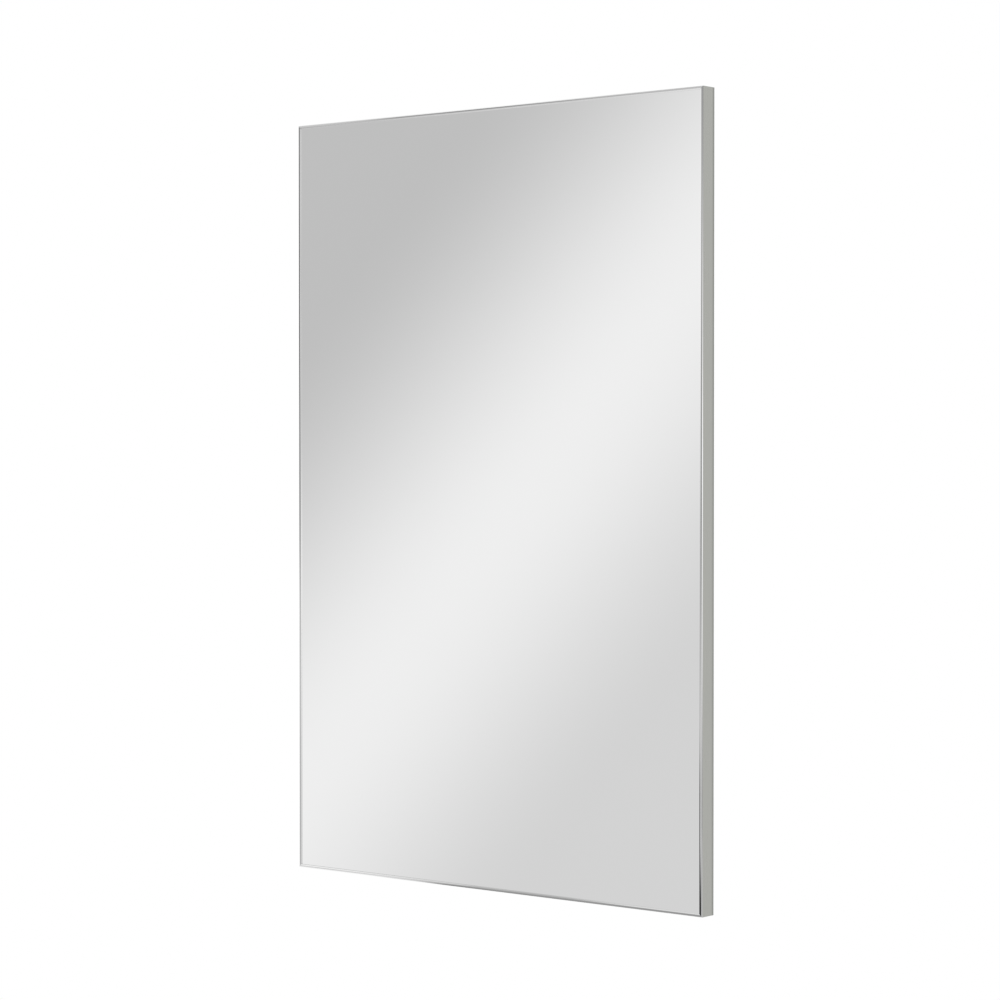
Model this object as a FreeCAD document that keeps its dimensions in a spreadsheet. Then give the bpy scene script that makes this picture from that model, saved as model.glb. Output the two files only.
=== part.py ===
import FreeCAD, Part
import os
import re
import Sketcher

# Wall mirror, 600 x 900 mm, in a slim mitred metal frame, lit from behind.
# The wall is the plane y = 0 and the mirror faces -y. The origin is midway between the two wall screws.

# Driving dimensions, in millimetres and degrees
SIZES = (
    # the frame and what it holds
    ("width", 600, "frame, side to side"),
    ("height", 900, "frame, bottom to top"),
    ("frame_depth", 22, "frame, front to back"),
    ("wall_gap", 14, "back edge of the frame to the wall"),
    ("side_wall", 1.5, "outer wall of the frame section"),
    ("lip_width", 3.5, "front lip, measured from the outer face"),
    ("lip_thickness", 1.4, "front lip, front to back"),
    ("front_bevel", 1, "polished bevel along the front corner"),
    ("rear_bevel", 0.5, "broken edge along the back corner"),
    ("ledge_width", 16, "ledge behind the glass, from the outer face"),
    ("ledge_thickness", 1.2, "ledge, front to back"),
    ("chamber_width", 10, "hollow of the section, across the frame"),
    ("chamber_wall", 1.4, "inner and back wall of the hollow"),
    ("mitre_overcut", 2, "how far the saw runs past the section"),
    ("glass_thickness", 5, "silvered glass"),
    ("glass_clearance", 0.5, "glass edge to the frame's outer wall"),
    ("glass_arris", 0.4, "ground edge of the glass"),
    ("film_thickness", 0.2, "safety film on the silvered side"),
    ("tape_thickness", 1, "bonding tape between film and ledge"),
    ("tape_width", 9, "bonding tape, across"),
    ("tape_inset", 5, "outer face of the frame to the tape"),
    ("panel_thickness", 1.5, "back panel sheet"),
    ("panel_clearance", 0.5, "panel edge to the frame's outer wall"),
    # corner keys
    ("key_arm", 40, "arm of a corner key, from the frame's corner"),
    ("key_fit", 0.15, "gap between a key and the hollow"),
    ("key_lead_in", 1, "bevel on the tip of a key arm"),
    ("key_screw_reach", 28, "key screw, from the frame's corner"),
    ("key_screw_radius", 2, "set screw in a key arm"),
    ("key_screw_length", 8, "set screw in a key arm"),
    ("key_screw_socket", 1.15, "corner radius of the hexagon socket"),
    ("thread_fit", 0.05, "gap round a thread, modelled plain"),
    ("key_access_radius", 2.4, "hole in the frame for the hexagon key"),
    # screws and rivets
    ("screw_radius", 1.5, "sheet metal screw, thread"),
    ("screw_length", 6.5, "sheet metal screw, under the head"),
    ("screw_head_radius", 3, "pan head"),
    ("screw_head_height", 1.9, "pan head"),
    ("screw_head_side", 0.6, "straight side of the pan head"),
    ("screw_fit", 0.1, "gap round a screw in its hole"),
    ("panel_screw_margin", 95, "frame corner to the first panel screw"),
    ("panel_screws_across", 3, "panel screws along the top and bottom"),
    ("panel_screws_down", 5, "panel screws along each side"),
    ("rivet_radius", 2, "blind rivet, shank"),
    ("rivet_head_radius", 3.8, "blind rivet, head"),
    ("rivet_head_height", 1.1, "blind rivet, head"),
    ("rivet_tail_radius", 2.6, "blind rivet, set end"),
    ("rivet_tail_length", 2, "blind rivet, set end"),
    # light channels on the back panel
    ("channel_inset", 40, "frame edge to the mouth of a channel"),
    ("channel_corner_gap", 34, "channel mouth line to the end of the next channel"),
    ("channel_wall_gap", 2, "channel to the wall"),
    ("channel_height", 9, "channel, mouth to base"),
    ("channel_wall", 1.2, "channel section"),
    ("channel_rib", 0.8, "rib that carries the diffuser"),
    ("channel_foot", 9, "foot of a channel along the panel"),
    ("channel_screw_margin", 40, "channel end to its first screw"),
    ("channel_screws_across", 2, "screws in a top or bottom channel"),
    ("channel_screws_down", 3, "screws in a side channel"),
    ("diffuser_thickness", 1.5, "opal diffuser"),
    ("diffuser_fit", 0.1, "gap between diffuser and channel"),
    ("diffuser_leg", 2.2, "snap leg of the diffuser"),
    ("diffuser_leg_thickness", 0.8, "snap leg of the diffuser"),
    ("strip_width", 8, "light strip"),
    ("strip_thickness", 0.4, "light strip with its adhesive"),
    ("strip_end_gap", 8, "light strip to the end of its channel"),
    ("led_length", 3.5, "light emitting diode, along the strip"),
    ("led_width", 2.8, "light emitting diode, across the strip"),
    ("led_height", 0.8, "light emitting diode"),
    ("led_pitch", 16.6, "diode to diode"),
    ("cap_thickness", 2, "end cap of a channel"),
    ("cap_peg_length", 4, "peg of an end cap inside the channel"),
    ("cap_peg_width", 5, "peg of an end cap"),
    ("cap_peg_height", 1.6, "peg of an end cap"),
    ("cap_boss_radius", 2.6, "lead boss of an end cap"),
    ("cap_boss_length", 3, "lead boss of an end cap"),
    ("lead_radius", 1.6, "low voltage lead"),
    # hanging rails
    ("rail_below_top", 130, "top of the frame to the wall screws"),
    ("rail_wall", 2, "rail section"),
    ("wall_rail_length", 360, "rail on the wall"),
    ("wall_rail_foot", 14, "wall rail below the screws"),
    ("wall_rail_shelf", 12, "screws to the top of the wall rail's shelf"),
    ("wall_rail_lip", 10, "upright lip above that shelf"),
    ("wall_rail_reach", 6, "wall to the upright lip"),
    ("wall_slot_spacing", 300, "wall slot to wall slot"),
    ("wall_slot_length", 14, "wall slot, end to end"),
    ("wall_slot_radius", 2.75, "half the wall slot's width"),
    ("hanging_rail_length", 400, "rail on the back panel"),
    ("hanging_rail_flange", 26, "flange of that rail on the panel"),
    ("hook_fit", 0.5, "hook to the wall rail's lip"),
    ("hook_tip_gap", 1, "tip of the hook to the wall rail's shelf"),
    ("hanging_rivets", 5, "rivets in the hanging rail"),
    ("hanging_rivet_margin", 24, "end of the hanging rail to its first rivet"),
    # spacers at the bottom
    ("spacer_from_centre", 150, "wall spacer, sideways"),
    ("spacer_above_bottom", 92, "wall spacer, above the bottom edge"),
    ("spacer_radius", 9, "wall spacer at the panel"),
    ("spacer_tip_radius", 7, "wall spacer at the wall"),
    ("spacer_floor", 4, "rubber under the spacer's screw head"),
    ("spacer_well_radius", 3.6, "well for the spacer's screw head"),
    # electrical tray
    ("tray_above_bottom", 205, "middle of the tray, above the bottom edge"),
    ("tray_space", 4, "tray wall to what it holds"),
    ("tray_wall", 1, "folded tray sheet"),
    ("tray_flange", 9, "tray flange on the back panel"),
    ("tray_corner", 5, "inner corner of the tray"),
    ("tray_glass_gap", 1.2, "tray to the film on the glass"),
    ("tray_cut_clearance", 0.5, "tray to the edge of its cut-out"),
    ("pad_thickness", 1, "adhesive pad"),
    ("pad_inset", 3, "edge of a housing to its adhesive pad"),
    ("driver_length", 150, "driver housing"),
    ("driver_width", 40, "driver housing"),
    ("driver_shoulder", 0.5, "driver housing above its lead bosses"),
    ("driver_lid_thickness", 2.5, "driver lid"),
    ("driver_lid_step", 0.6, "driver lid set back from the housing"),
    ("driver_corner", 3, "driver housing corner"),
    ("driver_boss_radius", 3.2, "lead boss of the driver"),
    ("driver_boss_length", 6, "lead boss of the driver"),
    ("box_length", 52, "terminal box"),
    ("box_width", 44, "terminal box"),
    ("box_wall", 2, "terminal box"),
    ("box_corner", 3, "terminal box corner"),
    ("box_post_radius", 3.6, "screw post in the terminal box"),
    ("box_lid_thickness", 2, "terminal box lid"),
    ("box_inlet_radius", 3.5, "cable inlet of the terminal box"),
    ("box_inlet_margin", 0.7, "cable inlet to the lid"),
    ("terminal_length", 30, "terminal block"),
    ("terminal_width", 16, "terminal block"),
    ("terminal_height", 11, "terminal block"),
    ("terminal_poles", 3, "poles of the terminal block"),
    ("terminal_entry_radius", 1.6, "wire entry of a pole"),
    ("terminal_entry_depth", 6, "wire entry of a pole"),
    ("link_length", 14, "mains link, terminal box to driver"),
    ("mains_radius", 2.2, "mains lead"),
    ("feed_clearance", 1, "feed lead above the tray flange"),
    ("inlet_clearance", 0.3, "cable inlet above the tray flange"),
    ("feed_straight", 10, "feed lead before it turns down"),
    ("feed_bend", 26, "bend of the feed lead"),
    ("feed_clips", 2, "clips on the feed lead"),
    ("grommet_radius", 4, "rubber grommet, flange"),
    ("grommet_neck_radius", 3.3, "rubber grommet in the tray wall"),
    ("grommet_flange", 1, "rubber grommet, flange thickness"),
    ("clip_wall", 1.3, "wall of a lead clip"),
    ("clip_length", 8, "lead clip along the lead"),
    ("clip_base_width", 13, "lead clip on the panel"),
    ("clip_base_thickness", 1.2, "lead clip on the panel"),
    ("clip_fit", 0.05, "gap round a lead in its clip or grommet"),
    ("switch_clips", 2, "clips on the switch lead"),
    # rocker switch under the bottom edge
    ("switch_inset", 110, "right side of the frame to the middle of the switch"),
    ("switch_length", 14.4, "switch housing"),
    ("switch_fit", 0.15, "gap round the switch housing"),
    ("switch_rim_length", 1.3, "bezel past the housing, each end"),
    ("switch_rim_width", 1.2, "bezel past the housing, each side"),
    ("bezel_thickness", 1, "bezel under the frame"),
    ("bezel_corner", 1, "corner of the bezel"),
    ("switch_rear_gap", 0.4, "switch housing past the frame's inner wall"),
    ("switch_cheek", 0.9, "side wall of the switch housing"),
    ("rocker_half", 4.9, "pivot to the raised edge of the rocker"),
    ("rocker_crown", 2.4, "pivot to the valley of the rocker"),
    ("rocker_tilt", 8, "rocker from level to either side"),
    ("rocker_root", 1.4, "rocker behind its pivot"),
    ("rocker_fit", 0.2, "gap between rocker and housing"),
    ("pivot_depth", 1.9, "rocker pivot, in from the frame's face"),
    ("pivot_radius", 1, "rocker trunnion"),
    ("pivot_fit", 0.06, "gap round a trunnion"),
    ("pivot_length", 0.6, "trunnion, out of the rocker's side"),
    ("cavity_floor_gap", 1.4, "rocker to the floor of its housing"),
    ("blade_length", 8, "switch terminal"),
    ("blade_width", 4.8, "switch terminal"),
    ("blade_thickness", 0.8, "switch terminal"),
    ("blade_spacing", 7, "switch terminal to terminal"),
    ("blade_fit", 0.15, "gap round a terminal in its boot"),
    ("boot_height", 12, "insulating boot over the switch terminals"),
    ("boot_wall", 1.5, "boot past the terminals"),
)

doc = FreeCAD.newDocument("wall_mirror")
sheet = doc.addObject("Spreadsheet::Sheet", "Sizes")
for row, (alias, number, meaning) in enumerate(SIZES, start=1):
    sheet.set(f"A{row}", meaning)
    sheet.set(f"B{row}", str(number))
    sheet.setAlias(f"B{row}", alias)
doc.recompute()

ALIASES = {alias for alias, number, meaning in SIZES}
ALONG_X = FreeCAD.Vector(1, 0, 0)
ALONG_Y = FreeCAD.Vector(0, 1, 0)
ALONG_Z = FreeCAD.Vector(0, 0, 1)
FACING_BACK = FreeCAD.Rotation(ALONG_Z, ALONG_Y)
sub_parts = []


# Expressions over the sheet

def sized(text):
    """The text as an expression, with each size read from the sheet."""
    return re.sub(r"[a-z_]+", lambda m: f"Sizes.{m[0]}" if m[0] in ALIASES else m[0], text)


def number_of(text):
    return float(sheet.evalExpression(sized(text)))


def spread(count, span):
    """Places of evenly spaced things along a span that is centred on zero."""
    total = int(number_of(count))
    return [f"({span}) * ({2 * i} / ({count} - 1) - 1) / 2" for i in range(total)]


# Places that several pieces share; y is measured from the wall, z from the wall screws
FRAME_FRONT = "(-wall_gap - frame_depth)"
GLASS_FRONT = f"({FRAME_FRONT} + lip_thickness)"
GLASS_BACK = f"({GLASS_FRONT} + glass_thickness)"
FILM_BACK = f"({GLASS_BACK} + film_thickness)"
TAPE_BACK = f"({FILM_BACK} + tape_thickness)"
PANEL_FRONT = "(-wall_gap - panel_thickness)"
PANEL_BACK = "(-wall_gap)"
TOP = "rail_below_top"
BOTTOM = "(rail_below_top - height)"
MIDDLE = "(rail_below_top - height / 2)"
GLASS_WIDTH = "(width - 2 * side_wall - 2 * glass_clearance)"
GLASS_HEIGHT = "(height - 2 * side_wall - 2 * glass_clearance)"

# The frame section: distances from its front and from its outer face
LEDGE_FRONT = "(lip_thickness + glass_thickness + film_thickness + tape_thickness)"
LEDGE_BACK = f"({LEDGE_FRONT} + ledge_thickness)"
CHAMBER_BACK = "(frame_depth - panel_thickness - chamber_wall)"
CHAMBER_DEPTH = f"({CHAMBER_BACK} - {LEDGE_BACK})"
CHAMBER_MIDDLE = f"(({CHAMBER_BACK} + {LEDGE_BACK}) / 2)"
CHAMBER_AXIS = "(side_wall + chamber_width / 2)"
CHAMBER_END = "(side_wall + chamber_width)"
SECTION_END = f"({CHAMBER_END} + chamber_wall)"

# The light channels
CHANNEL_DEPTH = "(wall_gap - channel_wall_gap)"
CHANNEL_ACROSS = "(width - 2 * channel_inset - 2 * channel_corner_gap)"
CHANNEL_DOWN = "(height - 2 * channel_inset - 2 * channel_corner_gap)"
LEAD_Y = f"({PANEL_BACK} + {CHANNEL_DEPTH} / 2)"

# The electrical tray
TRAY_Z = f"({BOTTOM} + tray_above_bottom)"
TRAY_FLOOR = f"({FILM_BACK} + tray_glass_gap + tray_wall)"
HOUSING_BASE = f"({TRAY_FLOOR} + pad_thickness)"
SWITCH_X = "(width / 2 - switch_inset)"
BOX_X = SWITCH_X
BOX_LEFT = f"({BOX_X} - box_length / 2)"
DRIVER_RIGHT = f"({BOX_LEFT} - link_length - driver_boss_length)"
DRIVER_LEFT = f"({DRIVER_RIGHT} - driver_length)"
FEED_START = f"({DRIVER_LEFT} - driver_boss_length)"
TRAY_LEFT = f"({FEED_START} - tray_space)"
TRAY_RIGHT = f"({BOX_X} + box_length / 2 + tray_space)"
TRAY_HALF = "(box_width / 2 + tray_space)"
TRAY_RIM = f"({PANEL_BACK} + tray_wall)"
FEED_Y = f"({TRAY_RIM} + feed_clearance + lead_radius)"
INLET_Y = f"({TRAY_RIM} + inlet_clearance + box_inlet_radius)"

# The rocker switch
SWITCH_Y = f"({FRAME_FRONT} + {CHAMBER_MIDDLE})"
SWITCH_WIDTH = f"({CHAMBER_DEPTH} - 2 * switch_fit)"
SWITCH_DEPTH = f"({SECTION_END} + switch_rear_gap)"
ROCKER_EDGE = "(rocker_crown + rocker_half * tan(rocker_tilt))"
ROCKER_RADIUS = f"sqrt(rocker_half ^ 2 + {ROCKER_EDGE} ^ 2)"
CAVITY_WIDTH = f"({SWITCH_WIDTH} - 2 * switch_cheek)"


# Sketches and features

def new_body(label):
    body = doc.addObject("PartDesign::Body", label)
    body.Label = label
    return body


def new_sketch(body, plane, level):
    """A sketch parallel to one of the body's planes, at a level along that plane's own axis."""
    sketch = body.newObject("Sketcher::SketchObject", f"{body.Name}_sketch")
    support = next(f for f in body.Origin.OriginFeatures if f.Role == plane)
    sketch.AttachmentSupport = [(support, "")]
    sketch.MapMode = "FlatFace"
    along = f"-({level})" if plane == "XZ_Plane" else level
    sketch.setExpression("AttachmentOffset.Base.z", sized(along))
    return sketch


def tie(sketch, kind, where, text):
    """A dimension of the sketch that follows the sheet."""
    index = sketch.addConstraint(Sketcher.Constraint(kind, *where, number_of(text)))
    sketch.setExpression(f"Constraints[{index}]", sized(text))


def tie_point(sketch, edge, end, across, up):
    tie(sketch, "DistanceX", (-1, 1, edge, end), across)
    tie(sketch, "DistanceY", (-1, 1, edge, end), up)


def draw_circle(sketch, across, up, radius):
    centre = FreeCAD.Vector(number_of(across), number_of(up), 0)
    edge = sketch.addGeometry(Part.Circle(centre, ALONG_Z, number_of(radius)))
    tie_point(sketch, edge, 3, across, up)
    tie(sketch, "Radius", (edge,), radius)


def draw_outline(sketch, corners):
    """A closed outline, drawn anticlockwise. A corner with a third value starts an arc of that radius."""
    points = [FreeCAD.Vector(number_of(c[0]), number_of(c[1]), 0) for c in corners]
    edges = []
    for i, corner in enumerate(corners):
        start, end = points[i], points[(i + 1) % len(points)]
        if len(corner) == 2:
            edges.append(sketch.addGeometry(Part.LineSegment(start, end)))
            continue
        radius = number_of(corner[2])
        chord = end - start
        left = FreeCAD.Vector(-chord.y, chord.x, 0).normalize()
        rise = max(radius ** 2 - (chord.Length / 2) ** 2, 0) ** 0.5
        bulge = (start + end) / 2 - left * (radius - rise)
        edges.append(sketch.addGeometry(Part.Arc(start, bulge, end)))
    for i, corner in enumerate(corners):
        sketch.addConstraint(Sketcher.Constraint("Coincident", edges[i], 2, edges[(i + 1) % len(edges)], 1))
    for edge, corner in zip(edges, corners):
        tie_point(sketch, edge, 1, corner[0], corner[1])
        if len(corner) == 3:
            tie(sketch, "Radius", (edge,), corner[2])


def add_feature(kind, body, plane, low, high, loops):
    """A pad or pocket between two levels. A loop is an outline, or a circle as (across, up, radius)."""
    sketch = new_sketch(body, plane, f"({low} + {high}) / 2")
    for loop in loops:
        if isinstance(loop, tuple):
            draw_circle(sketch, *loop)
        else:
            draw_outline(sketch, loop)
    feature = body.newObject(f"PartDesign::{kind}", f"{body.Name}_{kind.lower()}")
    feature.Profile = sketch
    feature.SideType = "Symmetric"
    feature.setExpression("Length", sized(f"({high}) - ({low})"))
    return feature


def pad(body, plane, low, high, *loops):
    return add_feature("Pad", body, plane, low, high, loops)


def pocket(body, plane, low, high, *loops):
    return add_feature("Pocket", body, plane, low, high, loops)


def revolve(body, outline):
    """A turned piece: the outline is (radius, height) and it turns about the body's z axis."""
    sketch = new_sketch(body, "XZ_Plane", "0")
    draw_outline(sketch, outline)
    turned = body.newObject("PartDesign::Revolution", f"{body.Name}_revolution")
    turned.Profile = sketch
    turned.ReferenceAxis = (sketch, ["V_Axis"])
    return turned


def rectangle(left, low, right, high):
    return [(left, low), (right, low), (right, high), (left, high)]


def round_rectangle(left, low, right, high, radius):
    return [
        (f"{left} + {radius}", low), (f"{right} - {radius}", low, radius),
        (right, f"{low} + {radius}"), (right, f"{high} - {radius}", radius),
        (f"{right} - {radius}", high), (f"{left} + {radius}", high, radius),
        (left, f"{high} - {radius}"), (left, f"{low} + {radius}", radius),
    ]


def obround(across, up, length, radius):
    """A slot along the first axis, its ends drawn as two quarter arcs each."""
    left, right = f"{across} - ({length} / 2 - {radius})", f"{across} + ({length} / 2 - {radius})"
    low, high = f"{up} - {radius}", f"{up} + {radius}"
    return [
        (left, low), (right, low, radius), (f"{right} + {radius}", up, radius),
        (right, high), (left, high, radius), (f"{left} - {radius}", up, radius),
    ]


def place(piece, x, y, z, turn=0):
    """Moves a piece, turned about the y axis, to a place that follows the sheet."""
    piece.Placement = FreeCAD.Placement(FreeCAD.Vector(), FreeCAD.Rotation(ALONG_Y, turn))
    for axis, text in zip("xyz", (x, y, z)):
        piece.setExpression(f"Placement.Base.{axis}", sized(text))


def make_box(label, low, high):
    """A plain block between two corners."""
    block = doc.addObject("Part::Box", label)
    for side, a, b in zip(("Length", "Width", "Height"), low, high):
        block.setExpression(side, sized(f"({b}) - ({a})"))
    place(block, *low)
    return block


def make_rod(label, radius, start, length, direction):
    """A plain round rod from a point, along a direction."""
    rod = doc.addObject("Part::Cylinder", label)
    rod.setExpression("Radius", sized(radius))
    rod.setExpression("Height", sized(length))
    place(rod, *start)
    rod.Placement = FreeCAD.Placement(rod.Placement.Base, FreeCAD.Rotation(ALONG_Z, direction))
    return rod


def make_bend(label, radius, bend, centre, turn):
    """A quarter turn of round lead in the plane of the wall."""
    quarter = doc.addObject("Part::Torus", label)
    quarter.Angle3 = 90
    quarter.setExpression("Radius1", sized(bend))
    quarter.setExpression("Radius2", sized(radius))
    place(quarter, *centre)
    upright = FreeCAD.Rotation(ALONG_Y, turn) * FreeCAD.Rotation(ALONG_X, 90)
    quarter.Placement = FreeCAD.Placement(quarter.Placement.Base, upright)
    return quarter


def join(kind, label, pieces):
    """Several pieces as one object: fused (Part::MultiFuse) or kept apart (Part::Compound)."""
    joined = doc.addObject(kind, label)
    setattr(joined, "Shapes" if kind == "Part::MultiFuse" else "Links", pieces)
    return joined


def keep(piece, label=None):
    """Lists a finished piece as one of the object's sub-parts."""
    piece.Label = label or piece.Label
    sub_parts.append(piece)
    return piece


def keep_copies(label, master, spots):
    """A group of equal pieces, each at (x, y, z, rotation)."""
    doc.recompute()
    copies = []
    for x, y, z, rotation in spots:
        at = FreeCAD.Vector(number_of(x), number_of(y), number_of(z))
        copies.append(master.Shape.transformed(FreeCAD.Placement(at, rotation).toMatrix()))
    group = doc.addObject("Part::Feature", label)
    group.Shape = Part.makeCompound(copies)
    return keep(group, label)


# Where screws and rivets go, as (x, z) on the back panel
PANEL_SCREWS_ACROSS = spread("panel_screws_across", "width - 2 * panel_screw_margin")
PANEL_SCREWS_DOWN = spread("panel_screws_down", "height - 2 * panel_screw_margin")
panel_screw_spots = [
    (x, f"{MIDDLE} {sign} (height / 2 - {CHAMBER_AXIS})") for sign in "+-" for x in PANEL_SCREWS_ACROSS
] + [
    (f"{sign}(width / 2 - {CHAMBER_AXIS})", f"{MIDDLE} + {z}")
    for sign in ("", "-") for z in PANEL_SCREWS_DOWN
]
CHANNEL_SCREWS_ACROSS = spread("channel_screws_across", f"{CHANNEL_ACROSS} - 2 * channel_screw_margin")
CHANNEL_SCREWS_DOWN = spread("channel_screws_down", f"{CHANNEL_DOWN} - 2 * channel_screw_margin")
FOOT_AXIS = "(channel_inset + channel_height + channel_foot / 2)"
channel_screw_spots = [
    (x, f"{MIDDLE} {sign} (height / 2 - {FOOT_AXIS})") for sign in "+-" for x in CHANNEL_SCREWS_ACROSS
] + [
    (f"{sign}(width / 2 - {FOOT_AXIS})", f"{MIDDLE} + {z}") for sign in ("", "-") for z in CHANNEL_SCREWS_DOWN
]
HANGER_LOW = "(wall_rail_shelf + wall_rail_lip)"
HANGER_RIVET_Z = f"({HANGER_LOW} + rail_wall / 2 + hanging_rail_flange / 2)"
hanger_rivet_spots = [
    (x, HANGER_RIVET_Z) for x in spread("hanging_rivets", "hanging_rail_length - 2 * hanging_rivet_margin")
]
SPACER_Z = f"({BOTTOM} + spacer_above_bottom)"
spacer_spots = [(f"{sign}spacer_from_centre", SPACER_Z) for sign in ("", "-")]
TRAY_RIVET_RISE = f"({TRAY_HALF} + tray_wall + tray_flange / 2)"
tray_rivet_spots = [
    (x, f"{TRAY_Z} {sign} {TRAY_RIVET_RISE}")
    for sign in "+-"
    for x in (TRAY_LEFT, f"({TRAY_LEFT} + {TRAY_RIGHT}) / 2", TRAY_RIGHT)
]


# Glass: the silvered pane, the film that holds it together if it breaks, and the tape that bonds it

def mirror_glass():
    body = new_body("mirror_glass")
    pane = pad(body, "XZ_Plane", GLASS_FRONT, GLASS_BACK, rectangle(
        f"-{GLASS_WIDTH} / 2", f"{MIDDLE} - {GLASS_HEIGHT} / 2",
        f"{GLASS_WIDTH} / 2", f"{MIDDLE} + {GLASS_HEIGHT} / 2"))
    doc.recompute()
    arris = body.newObject("PartDesign::Chamfer", "mirror_glass_arris")
    arris.Base = (pane, [f"Edge{i}" for i in range(1, len(pane.Shape.Edges) + 1)])
    arris.setExpression("Size", sized("glass_arris"))
    body.Tip = arris
    return keep(body)


def safety_film():
    half_width = f"({GLASS_WIDTH} / 2 - glass_arris)"
    half_height = f"({GLASS_HEIGHT} / 2 - glass_arris)"
    return keep(make_box(
        "safety_film", (f"-{half_width}", GLASS_BACK, f"{MIDDLE} - {half_height}"),
        (half_width, FILM_BACK, f"{MIDDLE} + {half_height}")))


def bonding_tape():
    """Four strips: the top and bottom ones run through, the side ones fit between them."""
    outer_x, outer_z = "(width / 2 - tape_inset)", "(height / 2 - tape_inset)"
    inner_x, inner_z = f"({outer_x} - tape_width)", f"({outer_z} - tape_width)"
    strips = []
    for name, sign in (("top", "+"), ("bottom", "-")):
        ends = sorted((f"{MIDDLE} {sign} {inner_z}", f"{MIDDLE} {sign} {outer_z}"), key=number_of)
        strips.append(make_box(
            f"tape_{name}", (f"-{outer_x}", FILM_BACK, ends[0]), (outer_x, TAPE_BACK, ends[1])))
    for name, sign in (("right", ""), ("left", "-")):
        ends = sorted((f"{sign}{inner_x}", f"{sign}{outer_x}"), key=number_of)
        strips.append(make_box(
            f"tape_{name}", (ends[0], FILM_BACK, f"{MIDDLE} - {inner_z}"),
            (ends[1], TAPE_BACK, f"{MIDDLE} + {inner_z}")))
    return keep(join("Part::Compound", "bonding_tape", strips))


# Frame: one extruded section, cut to four mitred rails and joined by keys in its hollow

SECTION = [
    ("front_bevel", "0"), ("0", "-front_bevel"), ("0", "-lip_width"), ("lip_thickness", "-lip_width"),
    ("lip_thickness", "-side_wall"), (LEDGE_FRONT, "-side_wall"), (LEDGE_FRONT, "-ledge_width"),
    (LEDGE_BACK, "-ledge_width"), (LEDGE_BACK, f"-{SECTION_END}"),
    ("frame_depth - panel_thickness", f"-{SECTION_END}"), ("frame_depth - panel_thickness", "-side_wall"),
    ("frame_depth", "-side_wall"), ("frame_depth", "-rear_bevel"), ("frame_depth - rear_bevel", "0"),
]
HOLLOW = rectangle(LEDGE_BACK, f"-{CHAMBER_END}", CHAMBER_BACK, "-side_wall")


def frame_rail(label, length, screws, x, z, turn):
    """A rail along the body's x axis, its outer face at z = 0 and its front at y = 0."""
    body = new_body(label)
    pad(body, "YZ_Plane", f"-{length} / 2", f"{length} / 2", SECTION, HOLLOW)
    far, deep = f"({length} / 2 + mitre_overcut)", "-(ledge_width + mitre_overcut)"
    near = f"({length} / 2 - ledge_width - mitre_overcut)"
    pocket(
        body, "XZ_Plane", "-mitre_overcut", "frame_depth + mitre_overcut",
        [(far, "mitre_overcut"), (near, deep), (far, deep)],
        [(f"-{far}", "mitre_overcut"), (f"-{far}", deep), (f"-{near}", deep)])
    holes = [(at, f"-{CHAMBER_AXIS}", "screw_radius + screw_fit") for at in screws]
    reach = f"({length} / 2 - key_screw_reach)"
    holes += [(f"{sign}{reach}", f"-{CHAMBER_AXIS}", "key_access_radius") for sign in ("", "-")]
    pocket(body, "XZ_Plane", CHAMBER_MIDDLE, "frame_depth", *holes)
    place(body, x, FRAME_FRONT, z, turn)
    return keep(body)


def frame():
    across, down = PANEL_SCREWS_ACROSS, PANEL_SCREWS_DOWN
    frame_rail("frame_rail_top", "width", across, "0", TOP, 0)
    frame_rail("frame_rail_right", "height", down, "width / 2", MIDDLE, 90)
    bottom = frame_rail("frame_rail_bottom", "width", across, "0", BOTTOM, 180)
    frame_rail("frame_rail_left", "height", down, "-width / 2", MIDDLE, 270)
    half_length, half_width = "(switch_length / 2 + switch_fit)", f"({SWITCH_WIDTH} / 2 + switch_fit)"
    pocket(bottom, "XY_Plane", f"-{SECTION_END} - mitre_overcut", "mitre_overcut", rectangle(
        f"-{SWITCH_X} - {half_length}", f"{CHAMBER_MIDDLE} - {half_width}",
        f"-{SWITCH_X} + {half_length}", f"{CHAMBER_MIDDLE} + {half_width}"))


def corner_key(label, x, z, turn):
    """A die-cast angle, drawn for the top right corner of the frame, which is at x = z = 0."""
    outer, inner = "(side_wall + key_fit)", f"({CHAMBER_END} - key_fit)"
    body = new_body(label)
    tip = "(key_arm - key_lead_in)"
    pad(body, "XZ_Plane", f"{LEDGE_BACK} + key_fit", f"{CHAMBER_BACK} - key_fit", [
        (f"-{outer}", f"-{outer}"), (f"-{tip}", f"-{outer}"), ("-key_arm", f"-({outer} + key_lead_in)"),
        ("-key_arm", f"-({inner} - key_lead_in)"), (f"-{tip}", f"-{inner}"), (f"-{inner}", f"-{inner}"),
        (f"-{inner}", f"-{tip}"), (f"-({inner} - key_lead_in)", "-key_arm"),
        (f"-({outer} + key_lead_in)", "-key_arm"), (f"-{outer}", f"-{tip}")])
    radius = "key_screw_radius + thread_fit"
    pocket(
        body, "XZ_Plane", LEDGE_BACK, CHAMBER_BACK,
        ("-key_screw_reach", f"-{CHAMBER_AXIS}", radius), (f"-{CHAMBER_AXIS}", "-key_screw_reach", radius))
    place(body, x, FRAME_FRONT, z, turn)
    return keep(body)


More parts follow.
